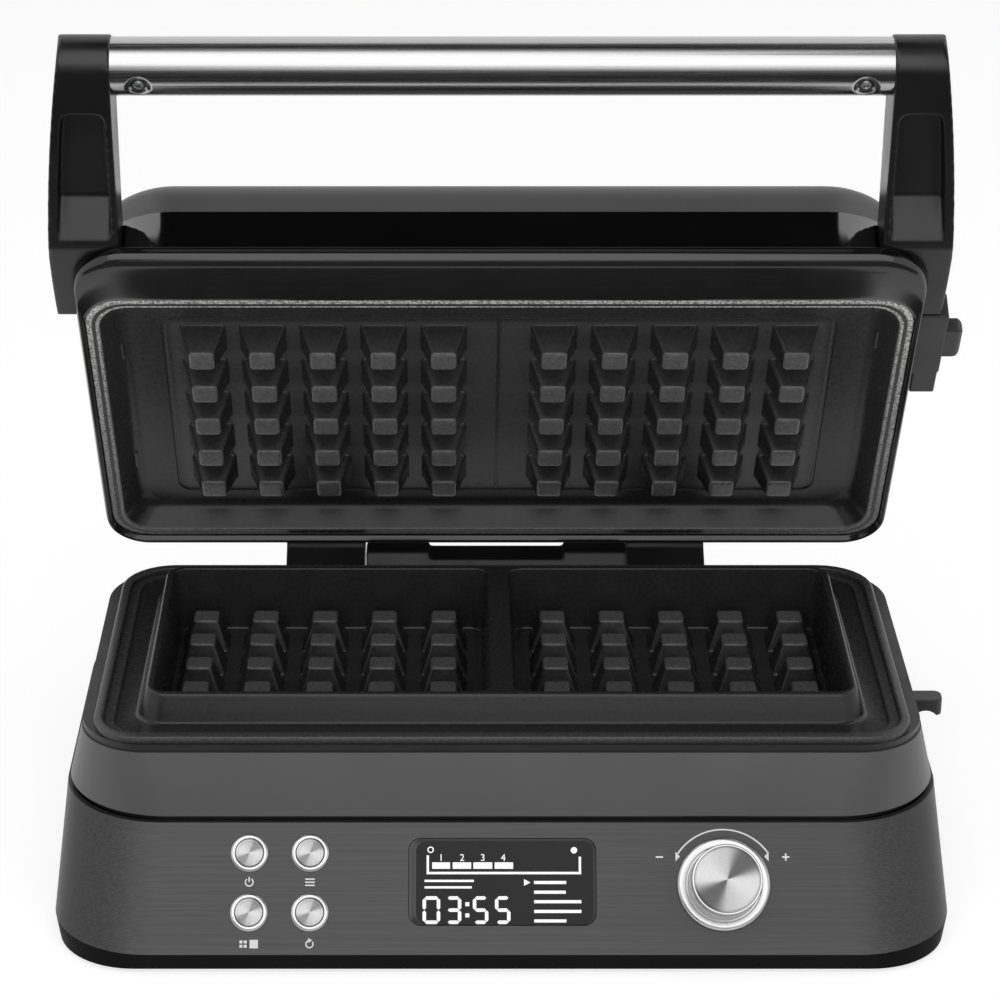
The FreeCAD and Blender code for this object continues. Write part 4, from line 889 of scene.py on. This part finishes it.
def makeScrew():
    q = screw
    head, under = q["head"], -q["high"]
    w, r = q["slot"], q["reach"]
    cross = [
        (w, w), (w, r), (-w, r), (-w, w), (-r, w), (-r, -w),
        (-w, -w), (-w, -r), (w, -r), (w, -w), (r, -w), (r, w),
    ]
    shape = bmesh.new()
    tx, ty = q["taper"]
    mouth = [shape.verts.new((x * mm, y * mm, q["face"] * mm)) for x, y in cross]
    floor = [shape.verts.new((x * tx * mm, y * ty * mm, -q["sink"] * mm)) for x, y in cross]
    profile = easeProfile([
        (q["faceWide"], q["face"], 0), (head - 0.25, -0.55, 0.5), (head, under + 0.3, 0.3), (head, under, 0),
        (q["shank"], under, 0), (q["shank"], under - q["length"], 0),
    ], 3)
    rings = circleRings(shape, profile, q["segments"])
    bridgeRings(shape, rings)
    shape.faces.new(rings[-1])
    bridgeRings(shape, [mouth, floor])
    shape.faces.new(floor)
    edges = []
    for loop in (rings[0], mouth):
        edges += [shape.edges.get(pair) for pair in zip(loop, loop[1:] + loop[:1])]
    bmesh.ops.triangle_fill(shape, edges=edges, use_beauty=True)
    return meshObject("screwShape", shape)


# Handle tube, pressed in round each screw
handle = {
    "y": -158.0, "z": 125.0, "radius": 10.6, "wall": 1.3, "half": 139.95, "screwX": 130.0, "dimple": 4.9,
    "flat": 2.3, "press": 1.7, "screwSize": 0.74, "screwSunk": 1.0, "around": 144, "nearStep": 0.4,
    "nearSteps": 20, "farStep": 11.5, "farEnd": 115.0,
}
hingeScrews = {"x": (61.0, 78.0), "y": 92.4, "z": 98.0}


def tubeStops():
    # close together where the tube is pressed in, wide apart between
    h = handle
    far = [-h["farEnd"] + h["farStep"] * k for k in range(21)]
    near = [side * (h["screwX"] + h["nearStep"] * k)
            for side in (-1, 1) for k in range(-h["nearSteps"], h["nearSteps"] + 1)]
    return [x for x in sorted({-h["half"], h["half"], *near, *far}) if abs(x) <= h["half"]]


def makeTube():
    h = handle
    shape = bmesh.new()
    outer, inner = [], []
    for x in tubeStops():
        outer.append([])
        inner.append([])
        for k in range(h["around"]):
            a = 2 * math.pi * k / h["around"]
            # bent is zero at the underside, where the screws are
            bent = (a + math.pi / 2 + math.pi) % (2 * math.pi) - math.pi
            away = math.hypot(min(abs(x - h["screwX"]), abs(x + h["screwX"])), h["radius"] * bent)
            share = min(max((h["dimple"] - away) / (h["dimple"] - h["flat"]), 0.0), 1.0)
            radius = h["radius"] - h["press"] * share * share * (3 - 2 * share)
            for ring, r in ((outer[-1], radius), (inner[-1], radius - h["wall"])):
                y, z = h["y"] + r * math.cos(a), h["z"] + r * math.sin(a)
                ring.append(shape.verts.new((x * mm, y * mm, z * mm)))
    for rings in (outer, inner, [outer[0], inner[0]], [outer[-1], inner[-1]]):
        bridgeRings(shape, rings)
    makePiece("handleTube", shape, lidPlace, brushedTube, "lid", ("handle_tube",))


makeTube()
screwHead = makeScrew()
sunk = handle["z"] - handle["radius"] + handle["press"] - handle["screwSunk"]
setOnSpots(
    "handleScrews", screwHead, [(side * handle["screwX"], handle["y"], sunk) for side in (-1, 1)], (0, 0, -1),
    lidPlace, zincPlate, "lid", ("handle_screws",), screw["widestTurn"], 4, handle["screwSize"])
setOnSpots(
    "hingeArmScrews", screwHead,
    [(side * x, hingeScrews["y"], hingeScrews["z"]) for side in (-1, 1) for x in hingeScrews["x"]], (0, 1, 0),
    lidPlace, zincPlate, "lid", ("hinge_arm_screws",), screw["widestTurn"], 9)
bpy.data.objects.remove(screwHead)
print("tube and screws set")


# Rings round the buttons, set on their four spots
def makeButtonRing():
    b = buttons
    hole, ring, high, deep = b["hole"], b["ring"], b["ringHigh"], b["deep"]
    profile = easeProfile([
        (hole, deep, 0), (hole, high - 0.1, 0.2), (hole + 0.9, high, 0.4), (ring, 0.5, 0.5),
        (ring, b["seat"], 0), (b["sleeve"], b["seat"], 0), (b["sleeve"], deep, 0),
    ])
    shape = bmesh.new()
    rings = circleRings(shape, profile, b["segments"])
    bridgeRings(shape, rings + rings[:1])
    return meshObject("ringShape", shape)


buttonRing = makeButtonRing()
setOnSpots(
    "buttonRings", buttonRing, [(x, -run, 0) for x in buttons["x"] for run in buttons["s"]], (0, 0, 1),
    panelPlace, satinChrome, "base", ("button_rings",), 0.0, 1)
bpy.data.objects.remove(buttonRing)
print("button rings set")


# Lid frame: upright wall, lip, crowned bezel, recess for the plate
lidFrame = {
    "wall": (155.5, 98.4, 79.1, 34.0, 17.0), "lip": (158.5, 101.4, 79.2, 20.0, 18.0),
    "slopeEnd": (157.6, 99.0, 78.6, 18.0, 17.0), "crown": (156.9, 90.0, 77.4, 15.6, 15.6),
    "inner": (156.2, 77.6, 76.3, 14.6, 14.6), "recess": (155.8, 76.3, 75.8, 14.3, 14.3),
    "seat": (152.3, 73.8, 73.8, 12.0, 12.0), "lipTop": 88.0, "lipEdge": 84.7, "slopeZ": 81.4, "crownZ": 80.8,
    "innerZ": 82.3, "faceZ": 83.0, "recessTop": 85.9, "seatTop": 88.4, "skin": 2.5, "shellZ": 107.5,
}
faceSlack = 0.02  # what a face may stand past a height and still count as below it


def makeLidFrame():
    f = lidFrame
    at = lambda key, inset=0.0: outlineBox(insetOutline(f[key], inset))
    shape = bmesh.new()
    stations = easeStations([
        (at("wall"), f["shellZ"], 0), (at("wall"), f["lipTop"], 0.5), (at("lip"), f["lipTop"], 0.25),
        (at("lip"), f["lipEdge"], 0.7), (at("slopeEnd"), f["slopeZ"], 2.0), (at("crown"), f["crownZ"], 4.0),
        (at("inner"), f["innerZ"], 0.5), (at("recess"), f["faceZ"], 0.2), (at("recess"), f["recessTop"], 0),
        (at("seat"), f["recessTop"], 0), (at("seat"), f["seatTop"], 0),
        (at("wall", f["skin"]), f["seatTop"], 0), (at("wall", f["skin"]), f["shellZ"], 0),
        (at("wall"), f["shellZ"], 0),
    ], 6)
    loftInto(shape, stations, 14, capFirst=False, capLast=False)
    bmesh.ops.remove_doubles(shape, verts=shape.verts[:], dist=0.001 * mm)
    piece = makePiece("lidFrameMoulding", shape, lidPlace, glossBlack, "lid", ("lid_frame",))
    piece.data.materials.append(bezelBlack)
    # the bezel below the lip edge takes the paler black: painted light on the bezel face
    back = lidPlace.inverted()
    for face in piece.data.polygons:
        face.material_index = 1 if (back @ face.center).z < (f["lipEdge"] + faceSlack) * mm else 0


makeLidFrame()
print("lid frame made")


# Display window: dark pane in a sloped surround, with its bars, digits and plain marks
window = {
    "half": 33.2, "top": 5.7, "low": 36.5, "round": 4.3, "roundLess": 0.7, "slope": (2.4, 0.7, 0.8, 0.35),
    "paneInset": (1, -1, 1, -1, -0.8, -0.8), "back": -3.4, "edge": -0.1, "face": -0.9, "ink": 0.03,
}
# marks are placed in pixels of the photograph: its middle and top on the panel, and pixels to a millimetre
panelPixels = {"middle": 502.5, "top": 838.0, "topRun": 5.5, "across": 2.80, "down": 2.79}
inkLift = 0.02


def panelX(px):
    return (px - panelPixels["middle"]) / panelPixels["across"]


def panelS(py):
    return panelPixels["topRun"] + (py - panelPixels["top"]) / panelPixels["down"]


def printInto(shape, outline, high):
    low = [shape.verts.new((x * mm, -run * mm, high * mm)) for x, run in outline]
    top = [shape.verts.new((x * mm, -run * mm, (high + window["ink"]) * mm)) for x, run in outline]
    shape.faces.new(low)
    shape.faces.new(top)
    bridgeRings(shape, [low, top])


def barInto(shape, x0, run0, x1, run1, high):
    printInto(shape, [(x0, run0), (x1, run0), (x1, run1), (x0, run1)], high)


def rowBar(shape, start, end, row, half, high):
    barInto(shape, panelX(start), panelS(row) - half, panelX(end), panelS(row) + half, high)


def arcInto(shape, x, run, inner, outer, start, end, high, steps=40):
    turns = [math.radians(start + (end - start) * k / steps) for k in range(steps + 1)]
    outline = [(x + outer * math.sin(a), run - outer * math.cos(a)) for a in turns]
    outline += [(x + inner * math.sin(a), run - inner * math.cos(a)) for a in reversed(turns)]
    printInto(shape, outline, high)


def makeWindow():
    w = window
    left, right, top, low = w["slope"]
    corner = w["round"] - w["roundLess"]
    edge = (-w["half"], w["half"], -w["low"], -w["top"], w["round"], w["round"])
    inner = (-w["half"] + left, w["half"] - right, -w["low"] + low, -w["top"] - top, corner, corner)
    pane = tuple(a + b for a, b in zip(inner, w["paneInset"]))
    shape = bmesh.new()
    loftInto(shape, easeStations([
        (edge, w["back"], 0), (edge, w["edge"], 0.3), (inner, w["face"], 0.3), (pane, w["face"], 0)], 3))
    piece = makePiece(
        "displayWindow", shape, panelPlace, displayGlass, "base", ("display_window",), 30)
    piece.data.materials.append(surroundGrey)
    # the sloped surround takes the paler grey: painted light on its slope
    back = panelPlace.inverted()
    for face in piece.data.polygons:
        face.material_index = 1 if (back @ face.center).z > (w["face"] + faceSlack) * mm else 0


def digitInto(shape, code, x0, x1, run0, run1, high, stroke=1.25, gap=0.12):
    half, mid = stroke / 2, (run0 + run1) / 2
    xa, xb, ra, rb = x0 + half, x1 - half, run0 + half, run1 - half
    lines = {
        "a": (xa, ra, xb, ra), "b": (xb, ra, xb, mid), "c": (xb, mid, xb, rb), "d": (xa, rb, xb, rb),
        "e": (xa, mid, xa, rb), "f": (xa, ra, xa, mid), "g": (xa, mid, xb, mid),
    }
    for letter in code:
        xs, rs, xe, re = lines[letter]
        if rs == re:
            xs, xe = xs + gap, xe - gap
            outline = [
                (xs, rs), (xs + half, rs - half), (xe - half, rs - half),
                (xe, rs), (xe - half, rs + half), (xs + half, rs + half),
            ]
        else:
            rs, re = rs + gap, re - gap
            outline = [
                (xs, rs), (xs + half, rs + half), (xs + half, re - half),
                (xs, re), (xs - half, re - half), (xs - half, rs + half),
            ]
        printInto(shape, outline, high)


# what the display shows: a browning scale with four bars lit, a running time, and a list drawn as plain bars
display = {
    "frame": (427.0, 581.0, 855.0, 873.8, 0.85), "frameShort": 0.5, "barRows": (862.0, 868.4),
    "bars": ((432.6, 450.4), (453.0, 471.4), (473.6, 492.4), (494.8, 513.2)),
    "numbers": (441.4, 462.4, 483.0, 503.4), "numberRow": 857.6, "numberSize": 3.5,
    "digits": (
        ("abcdef", 423.0, 440.6), ("abcdg", 446.0, 461.6), ("afgcd", 473.0, 488.5), ("afgcd", 495.0, 510.5)),
    "timeRows": (895.6, 923.0), "colon": (465.5, 469.5), "colonRows": (903.5, 914.5), "colonHalf": 0.7,
    "list": ((882.0, 566.0), (891.6, 565.5), (901.0, 581.0), (910.6, 581.0), (920.0, 566.0)),
    "listStart": 534.0, "listHalf": 0.55,
    "notes": ((425.0, 474.0, 880.4), (425.0, 472.0, 886.8)), "noteHalf": 0.4,
    "pointer": (524.0, 530.5, 882.0), "pointerHalf": 1.2, "pale": (431.0, 849.5), "dark": (574.0, 850.0),
    "dotInner": 0.75, "dotOuter": 1.15, "dotStep": 0.2618, "dotCorners": 24,
}


def makeDisplayMarks():
    d = display
    high = window["face"] + inkLift
    shape = bmesh.new()
    left, right, top, low, line = d["frame"]
    x0, x1, r0, r1 = panelX(left), panelX(right), panelS(top), panelS(low)
    barInto(shape, x0, r1 - line, x1, r1, high)
    barInto(shape, x0, r0, x0 + line, r1 - line, high)
    barInto(shape, x1 - line, r0 + d["frameShort"], x1, r1 - line, high)
    upper, lower = (panelS(row) for row in d["barRows"])
    for start, end in d["bars"]:
        barInto(shape, panelX(start), upper, panelX(end), lower, high)
    upper, lower = (panelS(row) for row in d["timeRows"])
    for code, start, end in d["digits"]:
        digitInto(shape, code, panelX(start), panelX(end), upper, lower, high)
    for row in d["colonRows"]:
        rowBar(shape, *d["colon"], row, d["colonHalf"], high)
    for row, end in d["list"]:
        rowBar(shape, d["listStart"], end, row, d["listHalf"], high)
    for start, end, row in d["notes"]:
        rowBar(shape, start, end, row, d["noteHalf"], high)
    start, end, run = panelX(d["pointer"][0]), panelX(d["pointer"][1]), panelS(d["pointer"][2])
    printInto(shape, [(start, run - d["pointerHalf"]), (end, run), (start, run + d["pointerHalf"])], high)
    x, run = panelX(d["pale"][0]), panelS(d["pale"][1])
    for turn in (0, 180):
        arcInto(shape, x, run, d["dotInner"], d["dotOuter"], turn, turn + 180, high)
    x, run = panelX(d["dark"][0]), panelS(d["dark"][1])
    r = d["dotOuter"]
    turns = [d["dotStep"] * k for k in range(d["dotCorners"])]
    printInto(shape, [(x + r * math.cos(a), run + r * math.sin(a)) for a in turns], high)
    for number, px in enumerate(d["numbers"], 1):
        text = bpy.data.curves.new("number", "FONT")
        text.body = str(number)
        text.size = d["numberSize"] * mm
        text.extrude = window["ink"] / 2 * mm
        text.align_x = "CENTER"
        text.align_y = "CENTER"
        spot = (panelX(px) * mm, -panelS(d["numberRow"]) * mm, (high + window["ink"] / 2) * mm)
        bakeInto(shape, linkObject("number", text), Matrix.Translation(spot))
    makePiece("displaySegments", shape, panelPlace, litSegment, "base")


# Screen print on the panel: signs under the buttons, the sweep over the knob with minus and plus
signs = {
    "sweep": (19.2, 19.75, 56.0), "sweepSteps": 72, "pips": ((677.0, 857.0, -1), (766.0, 857.0, 1)),
    "minus": (659.0, 857.0), "plus": (785.0, 857.0), "arm": 1.3, "thin": 0.28, "columns": (250.5, 311.0),
    "rowUpper": 882.0, "rowLower": 943.0, "squareGap": 0.22, "square": 1.5,
}


def makePanelPrint():
    g = signs
    high = inkLift
    shape = bmesh.new()
    inner, outer, reach = g["sweep"]
    arcInto(shape, knob["x"], knob["s"], inner, outer, -reach, reach, high, g["sweepSteps"])
    for px, py, way in g["pips"]:
        x, run = panelX(px), panelS(py)
        tail, tip = x + 0.7 * way, x - 0.9 * way
        printInto(shape, [(tail, run - 1.9), (tip, run - 0.2), (tail, run + 1.5)], high)
    a, t = g["arm"], g["thin"]
    x, run = panelX(g["minus"][0]), panelS(g["minus"][1])
    barInto(shape, x - a, run - t, x + a, run + t, high)
    x, run = panelX(g["plus"][0]), panelS(g["plus"][1])
    plus = [
        (-t, -a), (t, -a), (t, -t), (a, -t), (a, t), (t, t),
        (t, a), (-t, a), (-t, t), (-a, t), (-a, -t), (-t, -t),
    ]
    printInto(shape, [(x + dx, run + dr) for dx, dr in plus], high)
    first, second = (panelX(px) for px in g["columns"])
    run = panelS(g["rowUpper"])
    arcInto(shape, first, run, 1.15, 1.6, 35, 325, high)  # ring with a stroke, for switching on
    barInto(shape, first - 0.23, run - 1.9, first + 0.23, run - 0.1, high)
    for step in (-1.1, 0.0, 1.1):  # three lines, for a list
        barInto(shape, second - 1.7, run + step - 0.24, second + 1.7, run + step + 0.24, high)
    run = panelS(g["rowLower"])
    square = g["square"]
    # four small squares and one large, for a choice
    for side, gap in ((-3.4, g["squareGap"]), (0.4, 0.0)):
        for i in range(2):
            for k in range(2):
                left, top = first + side + square * i, run - square + square * k
                barInto(shape, left + gap, top + gap, left + square - gap, top + square - gap, high)
    arcInto(shape, second, run, 1.05, 1.5, 50, 350, high)  # open ring with a head, for starting again
    tail, tip = second - 0.5, second + 0.95
    printInto(shape, [(tail, run - 2.2), (tip, run - 1.28), (tail, run - 0.36)], high)
    makePiece("panelPrint", shape, panelPlace, whiteInk, "base")


makeWindow()
makeDisplayMarks()
makePanelPrint()
print("display and panel print made")


# Camera where the photograph was taken
view = {
    "spot": (-19.1, -1099.92, 611.6), "down": 23.06, "lens": 118.26, "sensor": 36, "shift": 0.0513,
    "far": 100,
}
camera = linkObject("photoCamera", bpy.data.cameras.new("photoCamera"))
camera.location = Vector(view["spot"]) * mm
camera.rotation_euler = (math.radians(90 - view["down"]), 0, 0)
camera.data.lens = view["lens"]
camera.data.sensor_width = view["sensor"]
camera.data.shift_x = view["shift"]
camera.data.clip_end = view["far"]
scene.camera = camera

# Stage: pale floor, soft box in front and above, cards and pale strips that only reflections see
stage = {
    "floor": "#fcfcfc", "floorHalf": 8, "floorShare": 0.5, "floorGlow": 1.5, "skyFill": 0.3,
    "card": "#0c0c0c", "stripGlow": 3.0, "boxGlow": 2.2, "keyPower": 18.0, "keySize": (2.8, 2.0),
    "keyHeight": 66.0, "keyFar": 2.0, "keyLift": 0.15, "fillPower": 13.5, "fillSize": (2.2, 1.0),
    "fillSpot": (0.0, -2.2, 0.35), "fillTilt": 86,
    "bouncePower": 11.0, "bounceSize": (1.3, 0.5), "bounceSpot": (0.0, -0.62, 0.012),
}
white = (1, 1, 1, 1)


def stagePlane(name, corners, material):
    data = bpy.data.meshes.new(name)
    data.from_pydata(corners, [], [(0, 1, 2, 3)])
    plane = linkObject(name, data)
    data.materials.append(material)
    return plane


def seenRays(tree):
    # one for rays from the camera, in reflections and through glass, nought for light on the object
    paths = addNode(tree, "ShaderNodeLightPath").outputs
    seen = addNode(tree, "ShaderNodeMath", {
        0: paths["Is Camera Ray"], 1: paths["Is Glossy Ray"]}, operation="MAXIMUM")
    return addNode(tree, "ShaderNodeMath", {0: seen, 1: paths["Is Transmission Ray"]}, operation="MAXIMUM")


def glowLook(name, strength):
    material, tree = startMaterial(name)
    lit = addNode(tree, "ShaderNodeEmission", {"Color": white, "Strength": strength})
    addNode(tree, "ShaderNodeOutputMaterial", {"Surface": lit})
    return material


floorLook, floorTree = startMaterial("paleFloor")
share = addNode(floorTree, "ShaderNodeMath", {
    0: seenRays(floorTree), 1: stage["floorShare"]}, operation="MULTIPLY")
paint = addNode(floorTree, "ShaderNodeBsdfDiffuse", {"Color": hexLinear(stage["floor"])})
glow = addNode(floorTree, "ShaderNodeEmission", {"Color": white, "Strength": stage["floorGlow"]})
floorMix = addNode(floorTree, "ShaderNodeMixShader", {0: share, 1: paint, 2: glow})
addNode(floorTree, "ShaderNodeOutputMaterial", {"Surface": floorMix})
reach = stage["floorHalf"]
corners = [(-reach, -reach, 0), (reach, -reach, 0), (reach, reach, 0), (-reach, reach, 0)]
stagePlane("floor", corners, floorLook)

cardLook, _ = startMaterial("darkCard")
finishMaterial(cardLook, {"Base Color": hexLinear(stage["card"]), "Roughness": 0.9})
stripLook = glowLook("paleStrip", stage["stripGlow"])
boxLook = glowLook("softBoxFront", stage["boxGlow"])


def facingCard(name, spot, wide, high, material):
    # a card square to the line from the object to its spot
    middle = Vector(spot)
    way = middle.normalized()
    across = way.cross(Vector((0, 0, 1))).normalized() * wide / 2
    upright = across.normalized().cross(way) * high / 2
    corners = [middle + a * across + u * upright for a, u in ((-1, -1), (1, -1), (1, 1), (-1, 1))]
    return stagePlane(name, corners, material)


above = [(-1.6, -0.3, 1.9), (1.6, -0.3, 1.9), (1.6, 0.75, 1.9), (-1.6, 0.75, 1.9)]
ahead = [(-2.5, -0.16, 0.004), (2.5, -0.16, 0.004), (2.5, -3.0, 0.35), (-2.5, -3.0, 0.35)]
cards = (
    stagePlane("cardAbove", above, cardLook),
    stagePlane("cardFront", ahead, cardLook),
    facingCard("cardLowLeft", (-0.75, -1.5, 0.5), 0.85, 0.7, cardLook),
    facingCard("cardHighRight", (0.85, -0.5, 1.45), 1.1, 1.1, cardLook),
    facingCard("stripLeft", (-1.0, 0.55, 1.35), 0.26, 1.2, stripLook),
    facingCard("stripRight", (1.0, 0.55, 1.35), 0.26, 1.2, stripLook),
    facingCard("softBoxFront", (0.0, -1.44, 1.54), 2.8, 2.0, boxLook),
)
for card in cards:
    card.visible_camera = False
    card.visible_diffuse = False
    card.visible_shadow = False
    card.visible_transmission = False


def softLight(name, power, size, spot, tilt):
    # an area light that lights without being seen
    lamp = linkObject(name, bpy.data.lights.new(name, "AREA"))
    lamp.data.shape = "RECTANGLE"
    lamp.data.size, lamp.data.size_y = size
    lamp.data.energy = power
    lamp.location = spot
    lamp.rotation_euler = (math.radians(tilt), 0, 0)
    lamp.visible_glossy = False
    lamp.visible_camera = False


keyAngle = math.radians(stage["keyHeight"])
keyAway, keyUp = stage["keyFar"] * math.cos(keyAngle), stage["keyFar"] * math.sin(keyAngle)
keySpot = (0, -keyAway, keyUp + stage["keyLift"])
softLight("softBox", stage["keyPower"], stage["keySize"], keySpot, 90 - stage["keyHeight"])
softLight("lowFill", stage["fillPower"], stage["fillSize"], stage["fillSpot"], stage["fillTilt"])
softLight("floorBounce", stage["bouncePower"], stage["bounceSize"], stage["bounceSpot"], 180)

scene.world = bpy.data.worlds.new("studio")
scene.world.use_nodes = True
skyTree = scene.world.node_tree
skyTree.nodes.clear()
strength = addNode(skyTree, "ShaderNodeMapRange", {
    "Value": seenRays(skyTree), "To Min": stage["skyFill"], "To Max": 1.0})
sky = addNode(skyTree, "ShaderNodeBackground", {"Color": white, "Strength": strength})
addNode(skyTree, "ShaderNodeOutputWorld", {"Surface": sky})
scene.view_settings.view_transform = "Standard"
print("stage, light and camera set")
